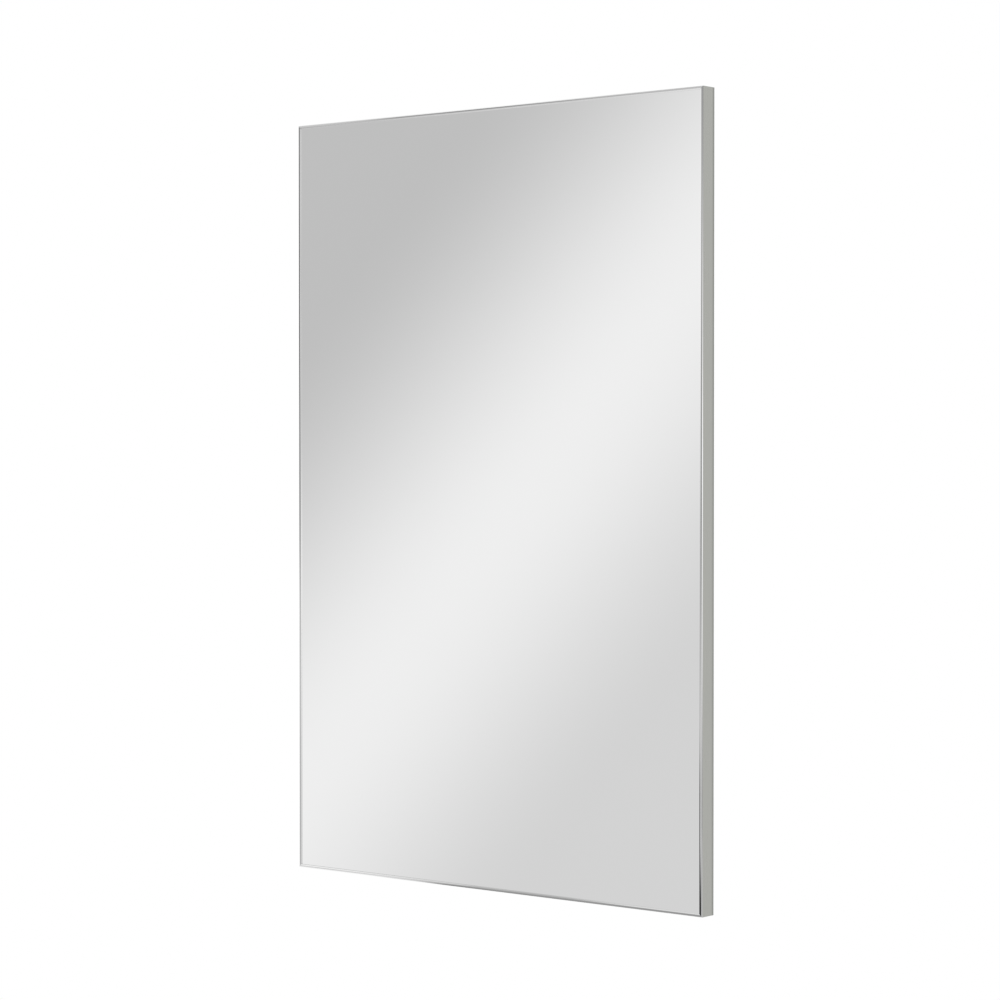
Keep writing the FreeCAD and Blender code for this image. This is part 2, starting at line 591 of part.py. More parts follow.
def corner_keys():
    corner_key("corner_key_top_right", "width / 2", TOP, 0)
    corner_key("corner_key_bottom_right", "width / 2", BOTTOM, 90)
    corner_key("corner_key_bottom_left", "-width / 2", BOTTOM, 180)
    corner_key("corner_key_top_left", "-width / 2", TOP, 270)
    screw = new_body("key_screw")
    pad(screw, "XY_Plane", "-key_screw_length", "0", ("0", "0", "key_screw_radius"))
    hexagon = [
        (f"key_screw_socket * cos({angle})", f"key_screw_socket * sin({angle})")
        for angle in range(0, 360, 60)
    ]
    pocket(screw, "XY_Plane", "-key_screw_length / 2", "key_screw_length / 2", hexagon)
    y = f"{FRAME_FRONT} + {LEDGE_BACK} + key_screw_length"
    spots = []
    for x_sign in ("", "-"):
        for z_sign, edge in (("-", TOP), ("+", BOTTOM)):
            for in_x, in_z in (("key_screw_reach", CHAMBER_AXIS), (CHAMBER_AXIS, "key_screw_reach")):
                spots.append((f"{x_sign}(width / 2 - {in_x})", y, f"{edge} {z_sign} {in_z}", FACING_BACK))
    keep_copies("corner_key_screws", screw, spots)


# Back panel: a flat sheet let into the back of the frame, which carries everything behind the glass

def back_panel():
    body = new_body("back_panel")
    half_width = "(width / 2 - side_wall - panel_clearance)"
    half_height = "(height / 2 - side_wall - panel_clearance)"
    pad(body, "XZ_Plane", PANEL_FRONT, PANEL_BACK, rectangle(
        f"-{half_width}", f"{MIDDLE} - {half_height}", half_width, f"{MIDDLE} + {half_height}"))
    through = (f"{PANEL_FRONT} - panel_thickness", f"{PANEL_BACK} + panel_thickness")
    pocket(body, "XZ_Plane", *through, tray_outline("(tray_wall + tray_cut_clearance)"))
    screws = panel_screw_spots + channel_screw_spots + spacer_spots
    holes = [(x, z, "screw_radius + screw_fit") for x, z in screws]
    holes += [(x, z, "rivet_radius + screw_fit") for x, z in hanger_rivet_spots + tray_rivet_spots]
    pocket(body, "XZ_Plane", *through, *holes)
    return keep(body)


def sheet_screw():
    """A pan-head sheet metal screw along z, its head above z = 0."""
    body = new_body("sheet_screw")
    dome = "((screw_head_radius ^ 2 + (screw_head_height - screw_head_side) ^ 2)"
    dome += " / (2 * (screw_head_height - screw_head_side)))"
    revolve(body, [
        ("0", "-screw_length"), ("screw_radius", "-screw_length + screw_radius"), ("screw_radius", "0"),
        ("screw_head_radius", "0"), ("screw_head_radius", "screw_head_side", dome),
        ("0", "screw_head_height")])
    return body


def blind_rivet(name, grip):
    """A set blind rivet along z: the head above z = 0 and the bulged tail under the grip."""
    body = new_body(name)
    dome = "((rivet_head_radius ^ 2 + rivet_head_height ^ 2) / (2 * rivet_head_height))"
    revolve(body, [
        ("0", f"-{grip} - rivet_tail_length"), ("rivet_tail_radius / 2", f"-{grip} - rivet_tail_length"),
        ("rivet_tail_radius", f"-{grip} - rivet_tail_length / 2"), ("rivet_tail_radius", f"-{grip}"),
        ("rivet_radius", f"-{grip}"), ("rivet_radius", "0"), ("rivet_head_radius", "0", dome),
        ("0", "rivet_head_height")])
    return body


# Light: aluminium channels that open outwards, each with a strip of diodes behind an opal diffuser

CHANNEL_SIDES = (
    ("top", CHANNEL_ACROSS, CHANNEL_SCREWS_ACROSS, "0", f"{TOP} - channel_inset", 0),
    ("right", CHANNEL_DOWN, CHANNEL_SCREWS_DOWN, "width / 2 - channel_inset", MIDDLE, 90),
    ("bottom", CHANNEL_ACROSS, CHANNEL_SCREWS_ACROSS, "0", f"{BOTTOM} + channel_inset", 180),
    ("left", CHANNEL_DOWN, CHANNEL_SCREWS_DOWN, "channel_inset - width / 2", MIDDLE, 270),
)


def light_channel(label, length, screws):
    """A channel along x: its mouth at z = 0, its side on the panel at y = 0 and its foot below its base."""
    near, far = "channel_wall", f"({CHANNEL_DEPTH} - channel_wall)"
    seat, under = "-diffuser_thickness", "-(diffuser_thickness + channel_rib)"
    floor, low = "-(channel_height - channel_wall)", "-(channel_height + channel_foot)"
    body = new_body(label)
    pad(body, "YZ_Plane", f"-{length} / 2", f"{length} / 2", [
        ("0", "0"), ("0", low), ("channel_wall", low), ("channel_wall", "-channel_height"),
        (CHANNEL_DEPTH, "-channel_height"), (CHANNEL_DEPTH, "0"), (far, "0"), (far, seat),
        (f"{far} - channel_rib", seat), (f"{far} - channel_rib", under), (far, under), (far, floor),
        (near, floor), (near, under), (f"{near} + channel_rib", under), (f"{near} + channel_rib", seat),
        (near, seat), (near, "0")])
    holes = [(at, "-(channel_height + channel_foot / 2)", "screw_radius + screw_fit") for at in screws]
    pocket(body, "XZ_Plane", "-channel_wall", "2 * channel_wall", *holes)
    return body


def diffuser(label, length):
    """An opal cover with two snap legs, flush with the channel's mouth at z = 0."""
    near, far = "(channel_wall + diffuser_fit)", f"({CHANNEL_DEPTH} - channel_wall - diffuser_fit)"
    leg, inside = f"({near} + channel_rib)", f"({far} - channel_rib)"
    plate, tip = "-diffuser_thickness", "-(diffuser_thickness + diffuser_leg)"
    body = new_body(label)
    pad(body, "YZ_Plane", f"-{length} / 2", f"{length} / 2", [
        (near, "0"), (near, plate), (leg, plate), (leg, tip), (f"{leg} + diffuser_leg_thickness", tip),
        (f"{leg} + diffuser_leg_thickness", plate), (f"{inside} - diffuser_leg_thickness", plate),
        (f"{inside} - diffuser_leg_thickness", tip), (inside, tip), (inside, plate),
        (far, plate), (far, "0")])
    return body


def led_strip(label, length):
    """A flexible circuit on the floor of the channel, with a row of diodes."""
    run = f"({length} - 2 * strip_end_gap)"
    count = f"floor({run} / led_pitch)"
    floor = "(channel_wall - channel_height)"
    board = f"({floor} + strip_thickness)"
    body = new_body(label)
    pad(body, "XY_Plane", floor, board, rectangle(
        f"-{run} / 2", f"({CHANNEL_DEPTH} - strip_width) / 2",
        f"{run} / 2", f"({CHANNEL_DEPTH} + strip_width) / 2"))
    first = f"-({count} - 1) * led_pitch / 2"
    diode = pad(body, "XY_Plane", board, f"({board} + led_height)", rectangle(
        f"{first} - led_length / 2", f"({CHANNEL_DEPTH} - led_width) / 2",
        f"{first} + led_length / 2", f"({CHANNEL_DEPTH} + led_width) / 2"))
    row = body.newObject("PartDesign::LinearPattern", f"{label}_row")
    row.Originals = [diode]
    row.Direction = (diode.Profile[0], ["H_Axis"])
    row.setExpression("Length", sized(f"({count} - 1) * led_pitch"))
    row.setExpression("Occurrences", sized(count))
    body.Tip = row
    return body


def end_cap():
    """A cap for the end of a channel that faces +x, centred on the channel, its mouth at z = 0."""
    half, middle = f"({CHANNEL_DEPTH} / 2)", "(-channel_height / 2)"
    body = new_body("end_cap")
    pad(body, "YZ_Plane", "0", "cap_thickness", rectangle(f"-{half}", "-channel_height", half, "0"))
    pad(body, "YZ_Plane", "-cap_peg_length", "0", rectangle(
        "-cap_peg_width / 2", f"{middle} - cap_peg_height / 2",
        "cap_peg_width / 2", f"{middle} + cap_peg_height / 2"))
    boss_end = "cap_thickness + cap_boss_length"
    pad(body, "YZ_Plane", "cap_thickness", boss_end, ("0", middle, "cap_boss_radius"))
    return body


def lights(screw):
    cap = end_cap()
    cap_spots = []
    for side, length, screws, x, z, turn in CHANNEL_SIDES:
        for name, body in (
            ("light_channel", light_channel(f"light_channel_{side}", length, screws)),
            ("led_strip", led_strip(f"led_strip_{side}", length)),
            ("diffuser", diffuser(f"diffuser_{side}", length)),
        ):
            place(body, x, PANEL_BACK, z, turn)
            keep(body)
        about_y = FreeCAD.Rotation(ALONG_Y, turn)
        about_z = FreeCAD.Rotation(ALONG_Z, 180)
        along = about_y.multVec(ALONG_X)
        for end, rotation in ((1, about_y), (-1, about_y * about_z)):
            cap_x = f"{x} + {round(end * along.x)} * {length} / 2"
            cap_z = f"{z} + {round(end * along.z)} * {length} / 2"
            cap_spots.append((cap_x, LEAD_Y, cap_z, rotation))
    keep_copies("channel_end_caps", cap, cap_spots)
    head_seat = f"{PANEL_BACK} + channel_wall"
    keep_copies("channel_screws", screw, [(x, head_seat, z, FACING_BACK) for x, z in channel_screw_spots])


def corner_jumpers():
    """Four short leads that carry the supply round the corners, from cap to cap."""
    bend = "(channel_corner_gap - channel_height / 2 - cap_thickness - cap_boss_length)"
    reach = f"(channel_inset + channel_height / 2 + {bend})"
    jumpers = []
    for name, x_sign, edge, z_sign, turn in (
        ("top_right", "", TOP, "-", 0), ("top_left", "-", TOP, "-", 270),
        ("bottom_left", "-", BOTTOM, "+", 180), ("bottom_right", "", BOTTOM, "+", 90),
    ):
        centre = (f"{x_sign}(width / 2 - {reach})", LEAD_Y, f"{edge} {z_sign} {reach}")
        jumpers.append(make_bend(f"jumper_{name}", "lead_radius", bend, centre, turn))
    keep(join("Part::Compound", "corner_jumpers", jumpers))


# Hanging: two interlocking rails at the top and two rubber spacers at the bottom

def wall_rail():
    """The rail that stays on the wall: a flange, a shelf and an upright lip that the mirror hooks over."""
    reach, front = "-wall_rail_reach", "-(wall_rail_reach + rail_wall)"
    under = "(wall_rail_shelf - rail_wall)"
    body = new_body("wall_rail")
    pad(body, "YZ_Plane", "-wall_rail_length / 2", "wall_rail_length / 2", [
        ("0", "-wall_rail_foot"), ("0", "wall_rail_shelf"), (reach, "wall_rail_shelf"), (reach, HANGER_LOW),
        (front, HANGER_LOW), (front, under), ("-rail_wall", under), ("-rail_wall", "-wall_rail_foot")])
    slots = [
        obround(f"{sign}(wall_slot_spacing / 2)", "0", "wall_slot_length", "wall_slot_radius")
        for sign in ("", "-")
    ]
    pocket(body, "XZ_Plane", "-2 * rail_wall", "rail_wall", *slots)
    return keep(body)


def hanging_rail():
    """The rail on the back panel: its shelf rests on the wall rail's lip and its hook drops behind it."""
    hook_front = "-(wall_rail_reach - hook_fit)"
    hook_back = f"({hook_front} + rail_wall)"
    tip, shelf_top = "(wall_rail_shelf + hook_tip_gap)", f"({HANGER_LOW} + rail_wall)"
    flange_top, flange_back = f"({HANGER_LOW} + hanging_rail_flange)", f"({PANEL_BACK} + rail_wall)"
    body = new_body("hanging_rail")
    pad(body, "YZ_Plane", "-hanging_rail_length / 2", "hanging_rail_length / 2", [
        (PANEL_BACK, HANGER_LOW), (hook_front, HANGER_LOW), (hook_front, tip), (hook_back, tip),
        (hook_back, shelf_top), (flange_back, shelf_top), (flange_back, flange_top),
        (PANEL_BACK, flange_top)])
    holes = [(x, z, "rivet_radius + screw_fit") for x, z in hanger_rivet_spots]
    pocket(body, "XZ_Plane", f"{PANEL_BACK} - rail_wall", f"{flange_back} + rail_wall", *holes)
    keep(body)
    rivet = blind_rivet("rail_rivet", "(rail_wall + panel_thickness)")
    spots = [(x, flange_back, z, FACING_BACK) for x, z in hanger_rivet_spots]
    keep_copies("hanging_rail_rivets", rivet, spots)


def wall_spacers(screw):
    """Moulded rubber cones that hold the lower half of the mirror off the wall."""
    cone = new_body("spacer")
    revolve(cone, [
        ("screw_radius + screw_fit", "0"), ("spacer_radius", "0"), ("spacer_tip_radius", "wall_gap"),
        ("spacer_well_radius", "wall_gap"), ("spacer_well_radius", "spacer_floor"),
        ("screw_radius + screw_fit", "spacer_floor")])
    for (x, z), side in zip(spacer_spots, ("right", "left")):
        keep_copies(f"wall_spacer_{side}", cone, [(x, PANEL_BACK, z, FACING_BACK)])
    seat = f"{PANEL_BACK} + spacer_floor"
    keep_copies("wall_spacer_screws", screw, [(x, seat, z, FACING_BACK) for x, z in spacer_spots])


# Electrics: a folded tray let into the panel, with the driver and the terminal box stuck to its floor

def tray_outline(margin):
    """The inside of the tray, grown by a margin all round."""
    return round_rectangle(
        f"({TRAY_LEFT} - {margin})", f"({TRAY_Z} - {TRAY_HALF} - {margin})",
        f"({TRAY_RIGHT} + {margin})", f"({TRAY_Z} + {TRAY_HALF} + {margin})", f"(tray_corner + {margin})")


def electrical_tray():
    body = new_body("electrical_tray")
    over = f"({TRAY_RIM} + tray_wall)"
    pad(body, "XZ_Plane", PANEL_BACK, TRAY_RIM, tray_outline("(tray_wall + tray_flange)"))
    pad(body, "XZ_Plane", f"({TRAY_FLOOR} - tray_wall)", PANEL_BACK, tray_outline("tray_wall"))
    pocket(body, "XZ_Plane", TRAY_FLOOR, over, tray_outline("0"))
    holes = [(x, z, "rivet_radius + screw_fit") for x, z in tray_rivet_spots]
    pocket(body, "XZ_Plane", PANEL_FRONT, over, *holes)
    lower_wall = f"({TRAY_Z} - {TRAY_HALF})"
    pocket(body, "XY_Plane", f"({lower_wall} - 2 * tray_wall)", f"({lower_wall} + tray_wall)",
           (SWITCH_X, SWITCH_Y, "grommet_neck_radius"))
    keep(body)
    rivet = blind_rivet("tray_rivet", "(tray_wall + panel_thickness)")
    keep_copies("electrical_tray_rivets", rivet, [(x, TRAY_RIM, z, FACING_BACK) for x, z in tray_rivet_spots])


def adhesive_pads():
    pads = []
    for name, left, right, half in (
        ("driver", DRIVER_LEFT, DRIVER_RIGHT, "(driver_width / 2)"),
        ("terminal", BOX_LEFT, f"({BOX_LEFT} + box_length)", "(box_width / 2)"),
    ):
        pads.append(make_box(
            f"pad_{name}", (f"{left} + pad_inset", TRAY_FLOOR, f"{TRAY_Z} - {half} + pad_inset"),
            (f"{right} - pad_inset", HOUSING_BASE, f"{TRAY_Z} + {half} - pad_inset")))
    keep(join("Part::Compound", "adhesive_pads", pads))


def driver():
    """The sealed supply for the light strips: a moulded housing with a lead boss at each end, and its lid."""
    low, high = f"({TRAY_Z} - driver_width / 2)", f"({TRAY_Z} + driver_width / 2)"
    top = f"({FEED_Y} + driver_boss_radius + driver_shoulder)"
    body = new_body("driver_housing")
    pad(body, "XZ_Plane", HOUSING_BASE, top, round_rectangle(
        DRIVER_LEFT, low, DRIVER_RIGHT, high, "driver_corner"))
    pad(body, "YZ_Plane", f"({DRIVER_LEFT} - driver_boss_length)", f"({DRIVER_LEFT} + driver_corner)",
        (FEED_Y, TRAY_Z, "driver_boss_radius"))
    pad(body, "YZ_Plane", f"({DRIVER_RIGHT} - driver_corner)", f"({DRIVER_RIGHT} + driver_boss_length)",
        (FEED_Y, TRAY_Z, "driver_boss_radius"))
    keep(body)
    lid = new_body("driver_lid")
    pad(lid, "XZ_Plane", top, f"({top} + driver_lid_thickness)", round_rectangle(
        f"({DRIVER_LEFT} + driver_lid_step)", f"({low} + driver_lid_step)",
        f"({DRIVER_RIGHT} - driver_lid_step)", f"({high} - driver_lid_step)", "driver_corner"))
    keep(lid)


def terminal_box(screw):
    """The mains connection: an open box with two screw posts, a lid, and the terminal block inside."""
    right = f"({BOX_LEFT} + box_length)"
    low, high = f"({TRAY_Z} - box_width / 2)", f"({TRAY_Z} + box_width / 2)"
    floor, rim = f"({HOUSING_BASE} + box_wall)", f"({INLET_Y} + box_inlet_radius + box_inlet_margin)"
    post_inset = "(box_wall + box_post_radius / 2)"
    posts = [(f"({BOX_LEFT} + {post_inset})", f"({low} + {post_inset})"),
             (f"({right} - {post_inset})", f"({high} - {post_inset})")]
    pilot = "screw_radius + screw_fit"
    body = new_body("terminal_box")
    pad(body, "XZ_Plane", HOUSING_BASE, rim, round_rectangle(BOX_LEFT, low, right, high, "box_corner"))
    pocket(body, "XZ_Plane", floor, f"({rim} + box_wall)", rectangle(
        f"({BOX_LEFT} + box_wall)", f"({low} + box_wall)", f"({right} - box_wall)", f"({high} - box_wall)"))
    pad(body, "XZ_Plane", HOUSING_BASE, rim, *[(x, z, "box_post_radius") for x, z in posts])
    pocket(body, "XZ_Plane", floor, f"({rim} + box_wall)", *[(x, z, pilot) for x, z in posts])
    pocket(body, "XY_Plane", f"({high} - 2 * box_wall)", f"({high} + box_wall)",
           (BOX_X, INLET_Y, "box_inlet_radius"))
    keep(body)
    lid = new_body("terminal_box_lid")
    lid_top = f"({rim} + box_lid_thickness)"
    pad(lid, "XZ_Plane", rim, lid_top, round_rectangle(BOX_LEFT, low, right, high, "box_corner"))
    pocket(lid, "XZ_Plane", f"({rim} - box_lid_thickness)", f"({lid_top} + box_lid_thickness)",
           *[(x, z, pilot) for x, z in posts])
    keep(lid)
    keep_copies("terminal_lid_screws", screw, [(x, lid_top, z, FACING_BACK) for x, z in posts])
    block = new_body("terminal_block")
    block_low, block_top = f"({TRAY_Z} - terminal_width / 2)", f"({floor} + terminal_height)"
    pad(block, "XZ_Plane", floor, block_top, rectangle(
        f"({BOX_X} - terminal_length / 2)", block_low,
        f"({BOX_X} + terminal_length / 2)", f"({TRAY_Z} + terminal_width / 2)"))
    entries = [(f"{BOX_X} + {at}", f"({floor} + {block_top}) / 2", "terminal_entry_radius")
               for at in spread("terminal_poles", "terminal_length * (1 - 1 / terminal_poles)")]
    pocket(block, "XY_Plane", block_low, f"({block_low} + terminal_entry_depth)", *entries)
    keep(block)


def leads():
    """The mains link, the feed to the light channels and the lead from the switch."""
    link_start = (f"{BOX_LEFT} - link_length", FEED_Y, TRAY_Z)
    keep(make_rod("mains_link", "mains_radius", link_start, "link_length", ALONG_X))
    turn_x = f"({FEED_START} - feed_straight)"
    drop_x, drop_z = f"({turn_x} - feed_bend)", f"({TRAY_Z} - feed_bend)"
    channel_base = f"({BOTTOM} + channel_inset + channel_height)"
    run = make_rod("feed_run", "lead_radius", (turn_x, FEED_Y, TRAY_Z), "feed_straight", ALONG_X)
    bend = make_bend("feed_turn", "lead_radius", "feed_bend", (turn_x, FEED_Y, drop_z), 270)
    drop_length = f"{drop_z} - {channel_base}"
    drop = make_rod("feed_drop", "lead_radius", (drop_x, FEED_Y, channel_base), drop_length, ALONG_Z)
    keep(join("Part::MultiFuse", "feed_lead", [run, bend, drop]))
    lead_low = f"({BOTTOM} + {SWITCH_DEPTH} + boot_height)"
    lead_high = f"({TRAY_Z} - box_width / 2)"
    lead_start, lead_length = (SWITCH_X, SWITCH_Y, lead_low), f"{lead_high} - {lead_low}"
    keep(make_rod("switch_lead", "mains_radius", lead_start, lead_length, ALONG_Z))
    grommet = new_body("lead_grommet")
    bore, neck, flange = "(mains_radius + clip_fit)", "(grommet_neck_radius - clip_fit)", "grommet_radius"
    half = "(tray_wall / 2)"
    revolve(grommet, [
        (bore, f"-{half} - grommet_flange"), (flange, f"-{half} - grommet_flange"), (flange, f"-{half}"),
        (neck, f"-{half}"), (neck, half), (flange, half), (flange, f"{half} + grommet_flange"),
        (bore, f"{half} + grommet_flange")])
    place(grommet, SWITCH_X, SWITCH_Y, f"{TRAY_Z} - {TRAY_HALF} - {half}")
    keep(grommet)
    foot = f"({channel_base} + channel_foot)"
    for label, radius, x, y, seat, low, high, count in (
        ("feed_lead_clips", "lead_radius", drop_x, FEED_Y, PANEL_BACK, foot, drop_z, "feed_clips"),
        ("switch_lead_clips", "mains_radius", SWITCH_X, SWITCH_Y, PANEL_FRONT,
         lead_low, f"({TRAY_Z} - {TRAY_HALF})", "switch_clips"),
    ):
        clip = lead_clip(f"{label}_master", radius, f"({y} - {seat})")
        span = f"({high} - {low}) / 2"
        keep_copies(label, clip, [
            (x, y, f"({low} + {high}) / 2 + {at}", FreeCAD.Rotation()) for at in spread(count, span)])


def lead_clip(name, radius, rise):
    """A stick-on clip round a lead along z; the lead is at a rise from the panel, behind or before it."""
    side = 1 if number_of(rise) > 0 else -1
    outer = f"({radius} + clip_wall)"
    seat, base = f"-({rise})", f"({side} * clip_base_thickness - ({rise}))"
    levels = sorted((seat, base), key=number_of)
    stem = sorted((base, "0"), key=number_of)
    half = ("-clip_length / 2", "clip_length / 2")
    body = new_body(name)
    pad(body, "XY_Plane", *half, rectangle(
        "-clip_base_width / 2", levels[0], "clip_base_width / 2", levels[1]))
    pad(body, "XY_Plane", *half, rectangle(f"-{outer}", stem[0], outer, stem[1]))
    pad(body, "XY_Plane", *half, ("0", "0", outer))
    pocket(body, "XY_Plane", "-clip_length", "clip_length", ("0", "0", f"({radius} + clip_fit)"))
    return body


# Switch: a snap-in rocker switch in the underside of the bottom rail

def rocker_switch():
    """Drawn with the frame's outer face at z = 0 and the inside of the frame above it."""
    half_length, half_width = "(switch_length / 2)", f"({SWITCH_WIDTH} / 2)"
    pivot = "pivot_depth"
    body = new_body("switch_housing")
    pad(body, "XY_Plane", "0", SWITCH_DEPTH, rectangle(
        f"-{half_length}", f"-{half_width}", half_length, half_width))
    rim_length, rim_width = f"({half_length} + switch_rim_length)", f"({half_width} + switch_rim_width)"
    pad(body, "XY_Plane", "-bezel_thickness", "0", round_rectangle(
        f"-{rim_length}", f"-{rim_width}", rim_length, rim_width, "bezel_corner"))
    cavity_half, cavity_side = f"({ROCKER_RADIUS} + rocker_fit)", f"({CAVITY_WIDTH} / 2)"
    cavity_top = f"({pivot} + rocker_root + cavity_floor_gap)"
    pocket(body, "XY_Plane", "-2 * bezel_thickness", cavity_top, rectangle(
        f"-{cavity_half}", f"-{cavity_side}", cavity_half, cavity_side))
    pocket(body, "XZ_Plane", f"-{half_width}", half_width, ("0", pivot, "pivot_radius + pivot_fit"))
    place(body, SWITCH_X, SWITCH_Y, BOTTOM)
    keep(body)

    rocker = new_body("switch_rocker")
    side = f"({CAVITY_WIDTH} / 2 - rocker_fit)"
    root = f"({ROCKER_RADIUS} - rocker_root)"
    pad(rocker, "XZ_Plane", f"-{side}", side, [
        ("0", "-rocker_crown"), ("rocker_half", f"-{ROCKER_EDGE}", ROCKER_RADIUS), (ROCKER_RADIUS, "0"),
        (root, "rocker_root"), (f"-{root}", "rocker_root"), (f"-{ROCKER_RADIUS}", "0", ROCKER_RADIUS),
        ("-rocker_half", f"-{ROCKER_EDGE}")])
    trunnion = f"({side} + pivot_length)"
    pad(rocker, "XZ_Plane", f"-{trunnion}", trunnion, ("0", "0", "pivot_radius"))
    place(rocker, SWITCH_X, SWITCH_Y, f"{BOTTOM} + {pivot}", number_of("rocker_tilt"))
    rocker.setExpression("Placement.Rotation.Angle", sized("rocker_tilt"))
    keep(rocker)

    root_z = f"({BOTTOM} + {SWITCH_DEPTH})"
    blades, slots = [], []
    for name, sign in (("left", "-"), ("right", "+")):
        x = f"({SWITCH_X} {sign} blade_spacing / 2)"
        blades.append(make_box(
            f"blade_{name}", (f"{x} - blade_thickness / 2", f"{SWITCH_Y} - blade_width / 2", root_z),
            (f"{x} + blade_thickness / 2", f"{SWITCH_Y} + blade_width / 2", f"{root_z} + blade_length")))
        wide, deep = "(blade_thickness / 2 + blade_fit)", "(blade_width / 2 + blade_fit)"
        slots.append(rectangle(
            f"{x} - {wide}", f"{SWITCH_Y} - {deep}", f"{x} + {wide}", f"{SWITCH_Y} + {deep}"))
    keep(join("Part::Compound", "switch_blades", blades))
    boot = new_body("switch_boot")
    boot_half = "(blade_spacing / 2 + blade_thickness / 2 + boot_wall)"
    boot_side = "(blade_width / 2 + boot_wall)"
    boot_top = f"({root_z} + boot_height)"
    pad(boot, "XY_Plane", root_z, boot_top, round_rectangle(
        f"({SWITCH_X} - {boot_half})", f"({SWITCH_Y} - {boot_side})",
        f"({SWITCH_X} + {boot_half})", f"({SWITCH_Y} + {boot_side})", "(boot_wall / 2)"))
    pocket(boot, "XY_Plane", f"({root_z} - blade_length)", f"({root_z} + blade_length + blade_fit)", *slots)
    keep(boot)


# The whole object

def build():
    screw = sheet_screw()
    mirror_glass()
    safety_film()
    bonding_tape()
    frame()
    corner_keys()
    back_panel()
    keep_copies("back_panel_screws", screw, [(x, PANEL_BACK, z, FACING_BACK) for x, z in panel_screw_spots])
    lights(screw)
    corner_jumpers()
    wall_rail()
    hanging_rail()
    wall_spacers(screw)
    electrical_tray()
    adhesive_pads()
    driver()
    terminal_box(screw)
    leads()
    rocker_switch()
    doc.recompute()


def check():
    failed = [o.Label for o in doc.Objects if {"Invalid", "Error"} & set(o.State)]
    failed += [p.Label for p in sub_parts if p.Shape.isNull() or not p.Shape.isValid() or not p.Shape.Solids]
    if failed:
        raise RuntimeError(f"these objects failed: {failed}")


def write():
    os.makedirs("parts", exist_ok=True)
    for piece in sub_parts:
        piece.Shape.exportStep(f"parts/{piece.Label}.step")
    print(f"wrote {len(sub_parts)} sub-parts")


build()
check()
write()
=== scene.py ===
import math

import bmesh
import bpy
from mathutils import Matrix, Vector


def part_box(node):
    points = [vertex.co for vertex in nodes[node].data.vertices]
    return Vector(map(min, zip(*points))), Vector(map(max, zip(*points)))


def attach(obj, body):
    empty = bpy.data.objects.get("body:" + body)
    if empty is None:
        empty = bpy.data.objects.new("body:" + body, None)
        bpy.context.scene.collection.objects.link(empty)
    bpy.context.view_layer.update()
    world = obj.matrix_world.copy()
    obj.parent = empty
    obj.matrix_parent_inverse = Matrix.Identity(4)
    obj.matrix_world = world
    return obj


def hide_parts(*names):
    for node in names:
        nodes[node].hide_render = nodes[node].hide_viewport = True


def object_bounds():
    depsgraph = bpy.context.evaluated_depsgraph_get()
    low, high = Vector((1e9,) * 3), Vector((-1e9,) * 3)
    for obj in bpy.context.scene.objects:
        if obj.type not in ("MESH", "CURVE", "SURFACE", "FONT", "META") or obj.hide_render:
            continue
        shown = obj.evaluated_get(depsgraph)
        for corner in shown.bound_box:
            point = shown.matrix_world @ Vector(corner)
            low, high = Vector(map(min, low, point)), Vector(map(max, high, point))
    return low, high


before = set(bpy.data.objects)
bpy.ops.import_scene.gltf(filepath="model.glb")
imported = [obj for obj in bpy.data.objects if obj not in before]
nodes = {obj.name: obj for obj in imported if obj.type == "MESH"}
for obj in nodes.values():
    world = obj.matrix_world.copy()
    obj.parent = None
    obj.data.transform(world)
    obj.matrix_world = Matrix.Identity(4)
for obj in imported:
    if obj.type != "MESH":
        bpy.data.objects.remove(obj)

cad_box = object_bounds()
scene = bpy.context.scene
scene.view_settings.view_transform = "Standard"


# Frame rails
# Four lengths of slim aluminium extrusion, cut at 45 degrees and keyed together at the corners.
# The sides are brushed lengthwise and satin anodised, and the front lip and its bevel are polished.
# The light and dark bands along the lip, its bevel, brim and wall are painted reflections in the metal's
# colour.
rail_sides = ("top", "right", "bottom", "left")
frame_low, frame_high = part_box("frame_rail_left")[0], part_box("frame_rail_right")[1]
frame_middle = (frame_low + frame_high) / 2
half_width, half_height = frame_high.x, (frame_high.z - frame_low.z) / 2
brim_start, brim_end = 0.0021, 0.0025
wall_start, wall_end = 0.0032, 0.0034
mitre_hairline, mitre_tone = 0.00025, 0.45
# Painted shade: the colour darkens towards the back edge of each rail.
back_shade_margin, back_shade_tone = 0.0055, 0.58
bevel_facing, front_facing = (-0.3, -0.6), (-0.85, -0.95)
satin_dark, satin_light = (0.388, 0.392, 0.367), (0.412, 0.416, 0.390)
streak_gloss, haze_gloss, lip_gloss = (0.25, 0.33), (0, 0.05), (0.08, 0.13)
brush_stretch, brush_depth = (6, 1300, 6), 0.000004
haze_patches = 18
noise_low, noise_high = 0.3, 0.7


def start_finish(name, colour, metallic, roughness):
    """A new material with its colour, and the tree and shader that its detail is added to."""
    material = bpy.data.materials.new(name)
    material.use_nodes = True
    shader = material.node_tree.nodes["Principled BSDF"]
    shader.inputs["Base Color"].default_value = (*colour, 1)
    shader.inputs["Metallic"].default_value = metallic
    shader.inputs["Roughness"].default_value = roughness
    return material, material.node_tree, shader


def own_place(tree):
    """The piece's own coordinates in metres."""
    return tree.nodes.new("ShaderNodeTexCoord").outputs["Object"]


def stretched(tree, stretch):
    """The piece's own coordinates, multiplied along x, y and z by one number or by three."""
    scale = tree.nodes.new("ShaderNodeVectorMath")
    scale.operation = "MULTIPLY"
    scale.inputs[1].default_value = stretch if isinstance(stretch, tuple) else (stretch,) * 3
    tree.links.new(own_place(tree), scale.inputs[0])
    return scale.outputs[0]


def cloud(tree, stretch, detail=3):
    """Soft random tone from 0 to 1, about one patch for each unit of the stretched coordinates."""
    noise = tree.nodes.new("ShaderNodeTexNoise")
    noise.inputs["Scale"].default_value = 1
    noise.inputs["Detail"].default_value = detail
    tree.links.new(stretched(tree, stretch), noise.inputs["Vector"])
    return noise.outputs["Fac"]


